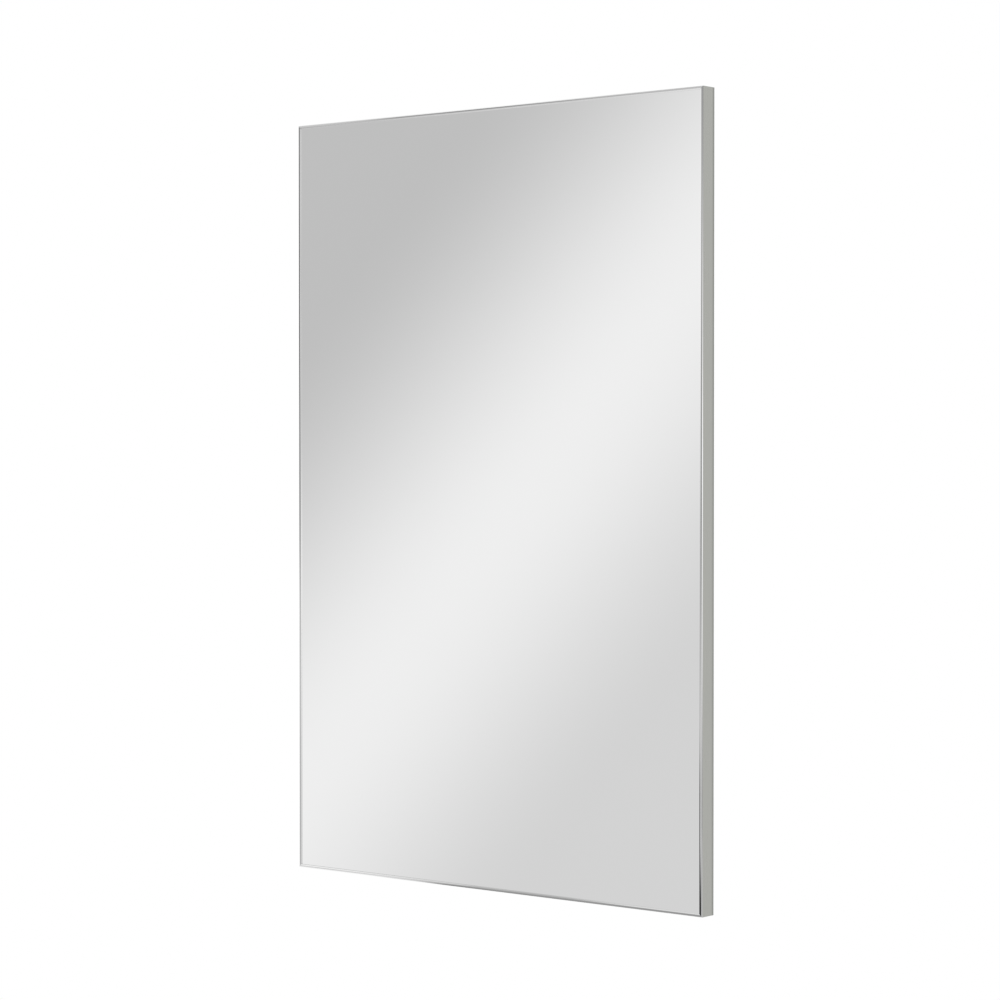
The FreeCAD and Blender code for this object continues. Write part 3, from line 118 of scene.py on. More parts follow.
def reckon(tree, operation, first, second=0):
    """One sum on two numbers, where either is a socket or a plain number."""
    step = tree.nodes.new("ShaderNodeMath")
    step.operation = operation
    for socket, value in zip(step.inputs, (first, second)):
        if isinstance(value, (int, float)):
            socket.default_value = value
        else:
            tree.links.new(value, socket)
    return step.outputs[0]


def between(tree, fac, start, end, low, high):
    """fac from start to end becomes low to high, and stays there outside."""
    span = tree.nodes.new("ShaderNodeMapRange")
    span.interpolation_type = "SMOOTHSTEP"
    tree.links.new(fac, span.inputs["Value"])
    for socket, value in zip(("From Min", "From Max", "To Min", "To Max"), (start, end, low, high)):
        span.inputs[socket].default_value = value
    return span.outputs["Result"]


def spread(tree, noise, low, high):
    """Noise over its usual range becomes low to high."""
    return between(tree, noise, noise_low, noise_high, low, high)


def blend_tones(tree, fac, first, second):
    """A colour between two others, where each is a socket or a plain colour."""
    mix = tree.nodes.new("ShaderNodeMixRGB")
    tree.links.new(fac, mix.inputs["Fac"])
    for socket, value in ((mix.inputs["Color1"], first), (mix.inputs["Color2"], second)):
        if isinstance(value, tuple):
            socket.default_value = (*value, 1)
        else:
            tree.links.new(value, socket)
    return mix.outputs["Color"]


def graded(tree, fac, stops):
    """A grey that eases from tone to tone, from (place, tone) stops."""
    ramp = tree.nodes.new("ShaderNodeValToRGB")
    ramp.color_ramp.interpolation = "EASE"
    marks = ramp.color_ramp.elements
    while len(marks) < len(stops):
        marks.new(0.5)
    for mark, (place, tone) in zip(marks, stops):
        mark.position = place
        mark.color = (tone, tone, tone, 1)
    tree.links.new(fac, ramp.inputs["Fac"])
    return ramp.outputs["Color"]


def raise_surface(tree, shader, height, depth):
    """Lifts the surface by up to depth metres where the height is 1."""
    bump = tree.nodes.new("ShaderNodeBump")
    bump.inputs["Strength"].default_value = 1
    bump.inputs["Distance"].default_value = depth
    tree.links.new(height, bump.inputs["Height"])
    tree.links.new(bump.outputs["Normal"], shader.inputs["Normal"])


def dress(names, material):
    """Gives CAD nodes a finish in place of the plain one."""
    for name in names:
        nodes[name].data.materials.clear()
        nodes[name].data.materials.append(material)


def frame_metal_and_painted_light(side, stands, bevel, lip, brim, wall):
    """Satin outside with streaks along the rail, painted shade darker at the back edge, and a polished lip.

    Painted reflections vary the colour along the rail, by stops that are parts of its length from the left
    or
    lower end: on the bevel, on the outer part of the lip, on its brim next to the glass and on the wall that
    the brim ends in. Bevel and flat front are told by how far a face turns forward, the rest by its inset
    from the edge.
    """
    material, tree, shader = start_finish(f"frame_metal_{side}", satin_light, metallic=1, roughness=0.3)
    brush = cloud(tree, brush_stretch, detail=4)
    haze = cloud(tree, haze_patches)
    facing = tree.nodes.new("ShaderNodeSeparateXYZ")
    tree.links.new(tree.nodes.new("ShaderNodeTexCoord").outputs["Normal"], facing.inputs[0])
    spot = tree.nodes.new("ShaderNodeSeparateXYZ")
    tree.links.new(own_place(tree), spot.inputs[0])
    rise = reckon(tree, "SUBTRACT", spot.outputs["Z"], frame_middle.z)
    run, half = (rise, half_height) if stands else (spot.outputs["X"], half_width)
    along = reckon(tree, "DIVIDE", reckon(tree, "ADD", run, half), 2 * half)
    side_inset = reckon(tree, "SUBTRACT", half_width, reckon(tree, "ABSOLUTE", spot.outputs["X"]))
    end_inset = reckon(tree, "SUBTRACT", half_height, reckon(tree, "ABSOLUTE", rise))
    inset = reckon(tree, "MINIMUM", side_inset, end_inset)
    on_bevel = between(tree, facing.outputs["Y"], *bevel_facing, 0, 1)
    on_front = between(tree, facing.outputs["Y"], *front_facing, 0, 1)
    on_brim = between(tree, inset, brim_start, brim_end, 0, 1)
    on_wall = between(tree, inset, wall_start, wall_end, 0, 1)
    satin = blend_tones(tree, brush, satin_dark, satin_light)
    # Painted reflections: the graded stops give the wall, bevel, lip and brim their light and dark bands.
    metal = blend_tones(tree, on_wall, satin, graded(tree, along, wall))
    metal = blend_tones(tree, on_bevel, metal, graded(tree, along, bevel))
    front = blend_tones(tree, on_brim, graded(tree, along, lip), graded(tree, along, brim))
    metal = blend_tones(tree, on_front, metal, front)
    off_mitre = reckon(tree, "ABSOLUTE", reckon(tree, "SUBTRACT", side_inset, end_inset))
    seam = between(tree, off_mitre, 0, mitre_hairline, mitre_tone, 1)
    # Painted shade: the colour darkens over the last few millimetres towards the back edge.
    painted_back_shade = between(tree, spot.outputs["Y"], frame_high.y - back_shade_margin, frame_high.y, 1, back_shade_tone)
    shaded = tree.nodes.new("ShaderNodeVectorMath")
    shaded.operation = "SCALE"
    tree.links.new(metal, shaded.inputs[0])
    tree.links.new(reckon(tree, "MULTIPLY", seam, painted_back_shade), shaded.inputs["Scale"])
    tree.links.new(shaded.outputs[0], shader.inputs["Base Color"])
    satin_gloss = reckon(tree, "ADD", spread(tree, brush, *streak_gloss), spread(tree, haze, *haze_gloss))
    gloss_gap = reckon(tree, "SUBTRACT", spread(tree, haze, *lip_gloss), satin_gloss)
    polished = reckon(tree, "MAXIMUM", on_bevel, on_wall)
    whole_gloss = reckon(tree, "ADD", satin_gloss, reckon(tree, "MULTIPLY", gloss_gap, polished))
    tree.links.new(whole_gloss, shader.inputs["Roughness"])
    raise_surface(tree, shader, brush, brush_depth)
    return material


# Each rail's stops are painted reflections: light and dark bands along its bevel, lip, brim and wall.
dress(["frame_rail_top"], frame_metal_and_painted_light(
    "top", stands=False,
    bevel=((0, 0.62), (0.5, 0.88), (1, 0.52)),
    lip=((0.05, 0.96), (0.17, 0.87), (0.28, 0.54), (0.52, 0.48), (0.8, 0.64)),
    brim=((0, 0.80), (0.3, 0.96), (1, 0.96)),
    wall=((0.15, 0.35), (0.55, 1))))
dress(["frame_rail_right"], frame_metal_and_painted_light(
    "right", stands=True,
    bevel=((0.05, 0.68), (0.13, 0.49), (0.36, 0.87), (0.55, 0.95), (0.72, 0.72), (1, 0.48)),
    lip=((0.01, 0.07), (0.1, 0.92), (0.19, 0.95), (0.5, 0.17), (0.95, 0.52)),
    brim=((0.14, 0.02), (0.24, 0.60), (0.75, 1)),
    wall=((0, 0.9), (1, 0.9))))
dress(["frame_rail_bottom"], frame_metal_and_painted_light(
    "bottom", stands=False,
    bevel=((0.17, 1), (0.31, 0.75), (0.4, 0.10), (0.48, 0.22), (1, 0.34)),
    lip=((0.05, 0.73), (0.26, 0.82), (0.45, 0.46), (1, 0.43)),
    brim=((0.1, 1), (0.42, 0.88), (0.48, 0.66), (0.68, 0.66), (0.86, 1)),
    wall=((0, 1), (1, 1))))
dress(["frame_rail_left"], frame_metal_and_painted_light(
    "left", stands=True,
    bevel=((0, 0.8), (1, 0.8)),
    lip=((0.1, 0.82), (0.34, 0.87), (0.5, 0.44), (0.58, 0.39), (0.73, 0.06)),
    brim=((0.05, 0.30), (0.3, 0.50), (0.48, 0.42), (0.78, 1)),
    wall=((0.36, 1), (0.64, 0.67), (0.76, 0.69), (1, 0.95))))


# Corner keys and their set screws
# Die-cast aluminium elbows slide into the hollow of two rails, and two zinc-plated set screws lock each.
# The keys are as cast: dull, a little grainy, with soft grey patches where the mould ran hot.
key_dark, key_light = (0.40, 0.40, 0.41), (0.52, 0.52, 0.53)
key_grain, key_patches, key_gloss, key_depth = 3500, 90, (0.42, 0.62), 0.00003
zinc_dark, zinc_light = (0.50, 0.52, 0.55), (0.66, 0.67, 0.68)
zinc_patches, zinc_gloss = 700, (0.2, 0.36)


def colour_by(tree, shader, fac, first, second):
    """Gives the shader a colour that goes from the first to the second with fac."""
    tree.links.new(blend_tones(tree, fac, first, second), shader.inputs["Base Color"])


def gloss_by(tree, shader, noise, low, high):
    """Gives the shader a roughness that goes from low to high with the noise."""
    tree.links.new(spread(tree, noise, low, high), shader.inputs["Roughness"])


key_metal, tree, shader = start_finish("key_metal", key_light, metallic=1, roughness=0.5)
grain = cloud(tree, key_grain, detail=5)
colour_by(tree, shader, cloud(tree, key_patches), key_dark, key_light)
gloss_by(tree, shader, grain, *key_gloss)
raise_surface(tree, shader, grain, key_depth)
dress([f"corner_key_{end}_{hand}" for end in ("top", "bottom") for hand in ("left", "right")], key_metal)

screw_steel, tree, shader = start_finish("screw_steel", zinc_light, metallic=1, roughness=0.28)
patches = cloud(tree, zinc_patches)
colour_by(tree, shader, patches, zinc_dark, zinc_light)
gloss_by(tree, shader, patches, *zinc_gloss)
dress(["corner_key_screws"], screw_steel)


# Mirror glass
# One pane of 5 mm float glass, silvered on its back, with ground edges that the lip hides.
# It is clean, so only a trace of wiping shows in its gloss.
silver, silver_dark, silver_light = (0.934, 0.934, 0.934), (0.931, 0.931, 0.931), (0.939, 0.939, 0.939)
wipe_stretch, wipe_range, wipe_gloss = (6, 6, 14), (0.35, 0.75), (0.002, 0.012)
mirror_silver, tree, shader = start_finish("mirror_silver", silver, metallic=1, roughness=0.005)
wipes = cloud(tree, wipe_stretch)
colour_by(tree, shader, wipes, silver_dark, silver_light)
tree.links.new(between(tree, wipes, *wipe_range, *wipe_gloss), shader.inputs["Roughness"])
dress(["mirror_glass"], mirror_silver)


# Safety film, bonding tape and pads
# A grey polyester film keeps the pane together if it breaks, and black foam tape bonds it to the ledge.
# Both are shut in behind the glass. Pads of the same foam hold the driver and the terminal box.
sheet_patches, sheet_gloss_range, sheet_depth = 60, 0.08, 0.00004


def dull_sheet(name, dark, light, grain, roughness):
    """A matt film, foam or rubber with fine grain and soft patches."""
    material, tree, shader = start_finish(name, light, metallic=0, roughness=roughness)
    pores = cloud(tree, grain, detail=4)
    colour_by(tree, shader, cloud(tree, sheet_patches), dark, light)
    gloss_by(tree, shader, pores, roughness - sheet_gloss_range, roughness + sheet_gloss_range)
    raise_surface(tree, shader, pores, sheet_depth)
    return material


dress(["safety_film"], dull_sheet(
    "safety_film", dark=(0.22, 0.24, 0.25), light=(0.26, 0.28, 0.29), grain=900, roughness=0.5))
dress(["bonding_tape", "adhesive_pads"], dull_sheet(
    "tape_foam", dark=(0.02, 0.02, 0.02), light=(0.045, 0.045, 0.045), grain=2500, roughness=0.85))


# Back panel
# Mill-finish aluminium sheet, let in flush with the back edge of the frame and screwed to its flange.
# The rolls leave fine lines up the sheet, and handling leaves soft clouds.
panel_dark, panel_light = (0.43, 0.435, 0.44), (0.52, 0.525, 0.53)
rolling_stretch, rolling_share, rolling_depth = (2600, 2600, 9), 0.55, 0.000006
handling_stretch, handling_share = (7, 7, 3), 0.45
panel_range, panel_gloss = (0.25, 0.75), (0.33, 0.47)
sheet_metal, tree, shader = start_finish("sheet_metal", panel_light, metallic=1, roughness=0.4)
rolling = cloud(tree, rolling_stretch, detail=4)
handling = cloud(tree, handling_stretch)
tone = reckon(tree, "ADD", reckon(tree, "MULTIPLY", rolling, rolling_share),
              reckon(tree, "MULTIPLY", handling, handling_share))
colour_by(tree, shader, between(tree, tone, *panel_range, 0, 1), panel_dark, panel_light)
tree.links.new(between(tree, tone, *panel_range, *panel_gloss), shader.inputs["Roughness"])
raise_surface(tree, shader, rolling, rolling_depth)
dress(["back_panel"], sheet_metal)


# Panel screws
# Zinc-plated pan-head sheet metal screws with a cross recess, sixteen round the edge of the panel.
# The same screw holds the light channels, the terminal lid and the wall spacers.
screw_head, screw_side, screw_crown = 0.003, 0.0006, 0.0019
screw_thread, screw_length, screw_point = 0.0015, 0.0065, 0.0012
recess_arm, recess_half, recess_depth, recess_taper = 0.00175, 0.00042, 0.0011, 0.5
dome_steps, turn_steps = 7, 40
sharp_angle = math.radians(32)
fastener_turn = 1.9
weld_distance, place_digits = 1e-6, 5


def places(node):
    """The lowest and highest corner of each separate solid in a CAD node, in a fixed order."""
    shape = bmesh.new()
    shape.from_mesh(nodes[node].data)
    bmesh.ops.remove_doubles(shape, verts=shape.verts, dist=weld_distance)
    waiting = set(shape.verts)
    found = []
    while waiting:
        solid = [waiting.pop()]
        for corner in solid:
            for edge in corner.link_edges:
                other = edge.other_vert(corner)
                if other in waiting:
                    waiting.remove(other)
                    solid.append(other)
        found.append(tuple(Vector(pick(v.co[i] for v in solid) for i in range(3)) for pick in (min, max)))
    shape.free()
    return sorted(found, key=lambda ends: tuple(round(value, place_digits) for value in ends[0]))


def as_mesh(name, shape):
    """Turns a worked shape into a mesh."""
    mesh = bpy.data.meshes.new(name)
    shape.to_mesh(mesh)
    shape.free()
    return mesh


def turned(name, profile):
    """A solid turned about the y axis from (radius, level) points that start and end on the axis."""
    shape = bmesh.new()
    line = [shape.verts.new((radius, level, 0)) for radius, level in profile]
    edges = [shape.edges.new(pair) for pair in zip(line, line[1:])]
    bmesh.ops.spin(shape, geom=line + edges, cent=(0, 0, 0), axis=(0, 1, 0), angle=math.tau,
                   steps=turn_steps, use_merge=True)
    bmesh.ops.remove_doubles(shape, verts=shape.verts, dist=weld_distance)
    bmesh.ops.recalc_face_normals(shape, faces=shape.faces)
    return as_mesh(name, shape)


def show(name, mesh):
    """Puts a mesh in the scene, smooth but for its sharp edges."""
    mesh.shade_smooth()
    mesh.set_sharp_from_angle(angle=sharp_angle)
    piece = bpy.data.objects.new(name, mesh)
    scene.collection.objects.link(piece)
    return piece


def pan_head_screw():
    """The screw with its seat at y = 0 and its head towards +y."""
    rise = screw_crown - screw_side
    ball = (screw_head ** 2 + rise ** 2) / (2 * rise)
    dome = []
    for step in range(dome_steps + 1):
        radius = screw_head * step / dome_steps
        dome.append((radius, screw_crown - ball + math.sqrt(ball ** 2 - radius ** 2)))
    shank = [(screw_head, 0), (screw_thread, 0),
             (screw_thread, screw_point - screw_length), (0, -screw_length)]
    screw = show("screw_blank", turned("screw_blank", dome + shank))
    outline = []
    for quarter in range(4):
        turn = Matrix.Rotation(-quarter * math.pi / 2, 3, "Y")
        for x, z in ((recess_half, recess_half), (recess_half, recess_arm), (-recess_half, recess_arm)):
            outline.append(turn @ Vector((x, 0, z)))
    cutter = bmesh.new()
    above, below = screw_crown + recess_depth / 2, screw_crown - recess_depth
    top = [cutter.verts.new((p.x, above, p.z)) for p in outline]
    foot = [cutter.verts.new((p.x * recess_taper, below, p.z * recess_taper)) for p in outline]
    cutter.faces.new(top)
    cutter.faces.new(foot[::-1])
    for i in range(len(outline)):
        after = (i + 1) % len(outline)
        cutter.faces.new((top[after], top[i], foot[i], foot[after]))
    bmesh.ops.recalc_face_normals(cutter, faces=cutter.faces)
    punch = show("cross_punch", as_mesh("cross_punch", cutter))
    cut = screw.modifiers.new("recess", "BOOLEAN")
    cut.operation = "DIFFERENCE"
    cut.solver = "EXACT"
    cut.object = punch
    bpy.context.view_layer.update()
    finished = bpy.data.meshes.new_from_object(screw.evaluated_get(bpy.context.evaluated_depsgraph_get()))
    bpy.data.objects.remove(screw)
    bpy.data.objects.remove(punch)
    return finished


def set_fasteners(node, mesh, material):
    """Replaces a CAD node by a copy of the mesh at each of its solids, level with the solid's top."""
    crown = max(v.co.y for v in mesh.vertices)
    group = bmesh.new()
    for number, (low, high) in enumerate(places(node)):
        old = len(group.verts)
        group.from_mesh(mesh)
        group.verts.ensure_lookup_table()
        turn = Matrix.Rotation(number * fastener_turn, 4, "Y")
        seat = Matrix.Translation(((low.x + high.x) / 2, high.y - crown, (low.z + high.z) / 2))
        bmesh.ops.transform(group, matrix=seat @ turn, verts=group.verts[old:])
    bmesh.ops.remove_doubles(group, verts=group.verts, dist=weld_distance)
    piece = show(f"{node}_detail", as_mesh(f"{node}_detail", group))
    piece.data.materials.append(material)
    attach(piece, "mirror")
    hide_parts(node)


sheet_screw = pan_head_screw()
set_fasteners("back_panel_screws", sheet_screw, screw_steel)


# Light channels
# Silver anodised aluminium extrusions on the back panel, one along each side and open towards the edge.
# The die leaves fine lines along them, so the ones that lie and the ones that stand differ.
channel_dark, channel_light = (0.60, 0.605, 0.60), (0.72, 0.725, 0.72)
die_gloss, die_depth = (0.26, 0.36), 0.000006
anodising_patches, anodising_gloss = 20, (0, 0.06)


def drawn_metal(name, stretch):
    """Anodised extrusion with fine die lines."""
    material, tree, shader = start_finish(name, channel_light, metallic=1, roughness=0.35)
    lines = cloud(tree, stretch, detail=4)
    patches = cloud(tree, anodising_patches)
    colour_by(tree, shader, lines, channel_dark, channel_light)
    gloss = reckon(tree, "ADD", spread(tree, lines, *die_gloss), spread(tree, patches, *anodising_gloss))
    tree.links.new(gloss, shader.inputs["Roughness"])
    raise_surface(tree, shader, lines, die_depth)
    return material


dress(["light_channel_top", "light_channel_bottom"],
      drawn_metal("channel_metal_lying", stretch=(12, 3200, 3200)))
dress(["light_channel_left", "light_channel_right"],
      drawn_metal("channel_metal_standing", stretch=(3200, 3200, 12)))
set_fasteners("channel_screws", sheet_screw, screw_steel)


# Light strips
# White flexible circuit stuck in the channels, with a small moulded diode every few millimetres.
# The phosphor of each diode is a warm yellow that only shows with the cover off.
phosphor_pale, phosphor_deep = (0.80, 0.66, 0.28), (0.74, 0.55, 0.17)
board_pale, board_deep = (0.88, 0.88, 0.83), (0.80, 0.80, 0.74)
board_thickness, diode_start, diode_end = 0.0004, 0.0001, 0.0003
board_grain, board_gloss, board_depth = 1500, (0.37, 0.53), 0.00004
outward_ways = ((0, 0, 1), (1, 0, 0), (0, 0, -1), (-1, 0, 0))


def diode_strip(side, outward):
    """Matt white circuit up to the board's own face, and phosphor on what stands above it."""
    material, tree, shader = start_finish(f"strip_board_{side}", board_pale, metallic=0, roughness=0.45)
    fine = cloud(tree, board_grain, detail=4)
    height = tree.nodes.new("ShaderNodeVectorMath")
    height.operation = "DOT_PRODUCT"
    height.inputs[1].default_value = outward
    tree.links.new(own_place(tree), height.inputs[0])
    face = min(outward.dot(corner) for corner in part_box(f"led_strip_{side}")) + board_thickness
    on_diode = between(tree, height.outputs["Value"], face + diode_start, face + diode_end, 0, 1)
    board = blend_tones(tree, fine, board_deep, board_pale)
    phosphor = blend_tones(tree, fine, phosphor_deep, phosphor_pale)
    colour_by(tree, shader, on_diode, board, phosphor)
    gloss_by(tree, shader, fine, *board_gloss)
    raise_surface(tree, shader, fine, board_depth)
    return material


for side, outward in zip(rail_sides, outward_ways):
    dress([f"led_strip_{side}"], diode_strip(side, Vector(outward)))


# Diffusers
# Snap-in covers of opal polycarbonate, extruded with a satin skin and cut to the length of each channel.
# They let the light through and hide the diodes.
opal, opal_dark, opal_light = (0.86, 0.86, 0.84), (0.83, 0.83, 0.81), (0.88, 0.88, 0.86)
milk_patches, milk_weight, milk_reach = 45, 0.3, (0.002, 0.002, 0.0018)
opal_grain, opal_gloss, opal_depth = 2200, (0.33, 0.46), 0.00001
opal_cover, tree, shader = start_finish("opal_cover", opal, metallic=0, roughness=0.4)
skin = cloud(tree, opal_grain)
colour_by(tree, shader, cloud(tree, milk_patches), opal_dark, opal_light)
gloss_by(tree, shader, skin, *opal_gloss)
shader.inputs["Subsurface Weight"].default_value = milk_weight
shader.inputs["Subsurface Radius"].default_value = milk_reach
raise_surface(tree, shader, skin, opal_depth)
dress([f"diffuser_{side}" for side in rail_sides], opal_cover)


# End caps and corner leads
# Grey moulded caps close the ends of the channels, and their pegs hold by friction.
# A short white lead with a soft plastic sheath joins one channel to the next round each corner.
moulded_grain, moulded_gloss_range, moulded_depth = 2600, 0.06, 0.000015
flow_patches = 35


def moulded(name, dark, light, roughness):
    """Moulded plastic: nearly even in colour, with a fine spark-eroded skin."""
    material, tree, shader = start_finish(name, light, metallic=0, roughness=roughness)
    skin = cloud(tree, moulded_grain)
    colour_by(tree, shader, cloud(tree, flow_patches), dark, light)
    gloss_by(tree, shader, skin, roughness - moulded_gloss_range, roughness + moulded_gloss_range)
    raise_surface(tree, shader, skin, moulded_depth)
    return material


cap_plastic = moulded("cap_plastic", dark=(0.40, 0.405, 0.41), light=(0.45, 0.455, 0.46), roughness=0.45)
white_lead = moulded("white_lead", dark=(0.70, 0.70, 0.68), light=(0.76, 0.76, 0.74), roughness=0.38)
dress(["channel_end_caps"], cap_plastic)
dress(["corner_jumpers"], white_lead)


# Hanging rail and wall rail
# Two pressed strips of galvanised steel. One is riveted to the panel and hooks down behind the other,
# which two screws hold to the wall through slots. The zinc has grown into pale and dark crystals.
crystal_share, crystal_gloss = 0.75, (0.3, 0.5)
galvanised_grain, grain_share, galvanised_depth = 1800, 0.25, 0.00001


def galvanised(name, dark, light, crystal):
    """Hot-dip zinc with flat crystals of different tone and gloss."""
    material, tree, shader = start_finish(name, light, metallic=1, roughness=0.4)
    wander = tree.nodes.new("ShaderNodeTexNoise")
    wander.inputs["Scale"].default_value = 1 / crystal
    tree.links.new(own_place(tree), wander.inputs["Vector"])
    warp = tree.nodes.new("ShaderNodeVectorMath")
    warp.operation = "ADD"
    tree.links.new(stretched(tree, 1 / crystal), warp.inputs[0])
    tree.links.new(wander.outputs["Color"], warp.inputs[1])
    spangle = tree.nodes.new("ShaderNodeTexVoronoi")
    spangle.inputs["Scale"].default_value = 1
    tree.links.new(warp.outputs[0], spangle.inputs["Vector"])
    crystal_tone = tree.nodes.new("ShaderNodeSeparateColor")
    tree.links.new(spangle.outputs["Color"], crystal_tone.inputs[0])
    fine = cloud(tree, galvanised_grain)
    tone = reckon(tree, "ADD", reckon(tree, "MULTIPLY", crystal_tone.outputs["Red"], crystal_share),
                  reckon(tree, "MULTIPLY", fine, grain_share))
    colour_by(tree, shader, tone, dark, light)
    gloss = between(tree, crystal_tone.outputs["Green"], 0, 1, *crystal_gloss)
    tree.links.new(gloss, shader.inputs["Roughness"])
    raise_surface(tree, shader, fine, galvanised_depth)
    return material


dress(["hanging_rail"], galvanised(
    "rail_steel", dark=(0.40, 0.415, 0.43), light=(0.58, 0.595, 0.61), crystal=0.007))
dress(["wall_rail"], galvanised(
    "wall_rail_steel", dark=(0.31, 0.32, 0.335), light=(0.48, 0.49, 0.505), crystal=0.0085))


# Blind rivets
# Domed aluminium rivets, pulled tight from the back so that the shank swells behind the sheet.
# Each keeps the broken end of its steel mandrel in the middle of the head.
rivet_head, rivet_crown = 0.0038, 0.0011
mandrel, mandrel_level = 0.00085, 0.00045
well, well_level = 0.00115, 0.000225
rivet_shank, rivet_bulge = 0.002, 0.0026
bulge_start, bulge_top, bulge_foot = 0.002, 0.0014, 0.0006
rivet_tone, rivet_dark, rivet_light = (0.72, 0.72, 0.72), (0.60, 0.60, 0.60), (0.76, 0.76, 0.76)
scuff_patches, scuff_gloss = 900, (0.2, 0.4)


def blind_rivet(name, depth):
    """A set rivet of that whole length, with its seat at y = 0 and its head towards +y."""
    middle = [(0, mandrel_level), (mandrel, mandrel_level), (mandrel, well_level), (well, well_level)]
    head = []
    for step in range(dome_steps + 1):
        along = step / dome_steps
        head.append((well + (rivet_head - well) * along, rivet_crown * math.sqrt(1 - along ** 2)))
    end = rivet_crown - depth
    tail = [(rivet_shank, 0), (rivet_shank, end + bulge_start), (rivet_bulge, end + bulge_top),
            (rivet_bulge, end + bulge_foot), (rivet_shank, end), (0, end)]
    return turned(name, middle + head + tail)


rivet_metal, tree, shader = start_finish("rivet_metal", rivet_tone, metallic=1, roughness=0.28)
scuffs = cloud(tree, scuff_patches)
colour_by(tree, shader, scuffs, rivet_dark, rivet_light)
gloss_by(tree, shader, scuffs, *scuff_gloss)
for node in ("hanging_rail_rivets", "electrical_tray_rivets"):
    low, high = places(node)[0]
    set_fasteners(node, blind_rivet(f"{node}_turned", high.y - low.y), rivet_metal)


# Wall spacers
# Moulded black rubber buffers near the bottom, each held to the panel by a screw down its well.
# Their tips touch the wall and keep the mirror plumb.
black_rubber = dull_sheet(
    "black_rubber", dark=(0.018, 0.018, 0.018), light=(0.035, 0.035, 0.034), grain=1600, roughness=0.62)
dress(["wall_spacer_left", "wall_spacer_right"], black_rubber)
set_fasteners("wall_spacer_screws", sheet_screw, screw_steel)


# Electrical tray
# A shallow pressed tray of galvanised steel let into the panel. Its flange is riveted down,
# and the driver and the terminal box stand in it on foam pads.
dress(["electrical_tray"], galvanised(
    "tray_steel", dark=(0.36, 0.375, 0.39), light=(0.52, 0.535, 0.55), crystal=0.005))


# Driver, terminal box and terminal block
# White moulded housings. The driver is glued shut, and the terminal box has a lid on two screws.
# The block inside the box is moulded in natural nylon.
white_plastic = moulded("white_plastic", dark=(0.72, 0.72, 0.70), light=(0.77, 0.77, 0.75), roughness=0.42)
natural_nylon = moulded("terminal_plastic", dark=(0.66, 0.65, 0.60), light=(0.72, 0.71, 0.66), roughness=0.3)
dress(["driver_housing", "driver_lid", "terminal_box", "terminal_box_lid"], white_plastic)
dress(["terminal_block"], natural_nylon)
set_fasteners("terminal_lid_screws", sheet_screw, screw_steel)


# Leads, clips and grommet
# A white lead feeds the channels, and black leads join the terminal box to the driver and the switch.
# Moulded clips hold them down, and a rubber grommet lines the hole in the tray's wall.
black_lead = moulded("black_lead", dark=(0.02, 0.02, 0.021), light=(0.032, 0.032, 0.033), roughness=0.4)
dress(["feed_lead"], white_lead)
dress(["mains_link", "switch_lead"], black_lead)
dress(["feed_lead_clips", "switch_lead_clips"], cap_plastic)
dress(["lead_grommet"], black_rubber)


# Rocker switch
# A small snap-in switch in the bottom rail, with a black moulded housing and a polished black rocker.
# Its brass blades stand inside the frame, in a rubber boot.
brass, brass_dark, brass_light = (0.72, 0.55, 0.27), (0.58, 0.42, 0.2), (0.76, 0.6, 0.32)
tarnish_patches, tarnish_gloss = 1200, (0.22, 0.42)
dress(["switch_housing"], moulded(
    "switch_plastic", dark=(0.022, 0.022, 0.024), light=(0.034, 0.034, 0.036), roughness=0.48))
dress(["switch_rocker"], moulded(
    "rocker_plastic", dark=(0.018, 0.018, 0.019), light=(0.026, 0.026, 0.028), roughness=0.22))
dress(["switch_boot"], black_rubber)
blade_brass, tree, shader = start_finish("blade_brass", brass, metallic=1, roughness=0.3)
tarnish = cloud(tree, tarnish_patches)
colour_by(tree, shader, tarnish, brass_dark, brass_light)
gloss_by(tree, shader, tarnish, *tarnish_gloss)
dress(["switch_blades"], blade_brass)


# Floor
# A plain pale studio floor, well below the mirror as it hangs.
# It fades outwards to the white of the background.
floor_drop, floor_radius, floor_segments = 1.9, 4.5, 96
floor_tone, floor_roughness = (0.86, 0.86, 0.86), 0.8
fade_start, fade_end, fade_least = floor_radius * 0.3, floor_radius * 0.95, 0.45
disc = bmesh.new()
bmesh.ops.create_circle(disc, cap_ends=True, radius=floor_radius, segments=floor_segments)
floor = show("studio_floor", as_mesh("studio_floor", disc))
floor.location = (0, 0, cad_box[0][2] - floor_drop)
floor_paint, tree, shader = start_finish("floor_paint", floor_tone, metallic=0, roughness=floor_roughness)
from_centre = tree.nodes.new("ShaderNodeVectorMath")
from_centre.operation = "LENGTH"
tree.links.new(own_place(tree), from_centre.inputs[0])
fade = between(tree, from_centre.outputs["Value"], fade_start, fade_end, fade_least, 1)
glow = tree.nodes.new("ShaderNodeEmission")
edge = tree.nodes.new("ShaderNodeMixShader")
tree.links.new(fade, edge.inputs[0])
tree.links.new(shader.outputs[0], edge.inputs[1])
tree.links.new(glow.outputs[0], edge.inputs[2])
tree.links.new(edge.outputs[0], tree.nodes["Material Output"].inputs["Surface"])
floor.data.materials.append(floor_paint)


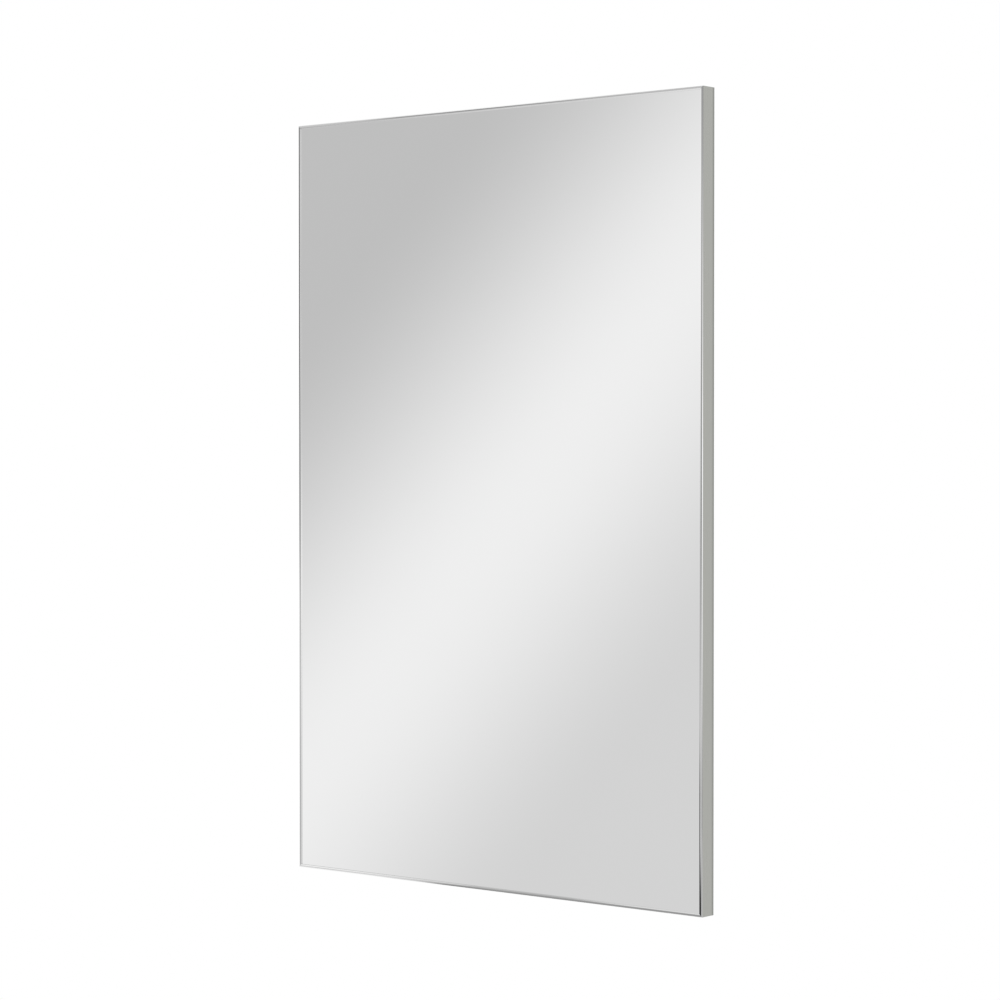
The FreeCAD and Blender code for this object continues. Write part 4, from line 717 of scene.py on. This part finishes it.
# Studio surroundings
# White to the camera, and even soft light for the rest. Polished metal and the mirror see a graded backdrop:
# a light band across it on the slant between two greys, with white behind the mirror and towards the floor.
white, ambient = (1, 1, 1), (0.72, 0.72, 0.72)
band_normal = (0.6161, -0.4913, -0.6156)
band_start, band_period = -0.145, 0.387
dark_grey, pale_grey, light_band = 0.5537, 0.6930, 0.9194
band_tones = ((0.0, dark_grey), (0.1327, dark_grey), (0.3844, light_band),
              (0.6054, pale_grey), (0.7545, pale_grey), (1.0, dark_grey))
behind_span, below_span = (-0.35, 0.05), (-0.22, -0.44)
surroundings = bpy.data.worlds.new("studio")
scene.world = surroundings
surroundings.use_nodes = True
tree = surroundings.node_tree
direction = tree.nodes.new("ShaderNodeTexCoord").outputs["Generated"]
across = tree.nodes.new("ShaderNodeVectorMath")
across.operation = "DOT_PRODUCT"
across.inputs[1].default_value = band_normal
tree.links.new(direction, across.inputs[0])
from_start = reckon(tree, "SUBTRACT", across.outputs["Value"], band_start)
wave = reckon(tree, "FRACT", reckon(tree, "DIVIDE", from_start, band_period))
backdrop = graded(tree, wave, band_tones)
heading = tree.nodes.new("ShaderNodeSeparateXYZ")
tree.links.new(direction, heading.inputs[0])
behind = between(tree, heading.outputs["Y"], *behind_span, 0, 1)
below = between(tree, heading.outputs["Z"], *below_span, 0, 1)
reflected = blend_tones(tree, reckon(tree, "MAXIMUM", behind, below), backdrop, white)
path = tree.nodes.new("ShaderNodeLightPath")
seen = reckon(tree, "MAXIMUM", path.outputs["Is Camera Ray"], path.outputs["Is Transmission Ray"])
lit = blend_tones(tree, path.outputs["Is Glossy Ray"], ambient, reflected)
tree.links.new(blend_tones(tree, seen, lit, white), tree.nodes["Background"].inputs["Color"])


# Lamps
# Two large soft boxes overhead, one before the mirror and one behind it.
# Both hang high enough to stay out of the mirror, unless it is seen from far below.
def set_up(thing, place, aim):
    """Puts a lamp or a camera at a place and turns it towards a point."""
    scene.collection.objects.link(thing)
    thing.location = place
    thing.rotation_euler = (Vector(aim) - Vector(place)).to_track_quat("-Z", "Y").to_euler()


def soft_box(name, place, size, watts):
    """A square lamp that faces the middle of the frame."""
    lamp = bpy.data.lights.new(name, "AREA")
    lamp.shape = "SQUARE"
    lamp.size = size
    lamp.energy = watts
    set_up(bpy.data.objects.new(name, lamp), place, frame_middle)


soft_box("front_soft_box", place=(-0.5, -1.3, 3.3), size=1.8, watts=30)
soft_box("rear_soft_box", place=(1.0, 2.4, 2.6), size=1.8, watts=34)


# Camera
# At the photograph's place: right of the mirror and about level with its middle.
# A long lens keeps the upright edges nearly parallel.
camera_place = (2.087, -2.5563, -0.2677)
camera_aim = (0.0143, -0.0331, -0.3202)
film_width, focal_length = 36, 102.6
lens = bpy.data.cameras.new("photo_camera")
lens.sensor_width = film_width
lens.lens = focal_length
camera = bpy.data.objects.new("photo_camera", lens)
set_up(camera, camera_place, camera_aim)
scene.camera = camera
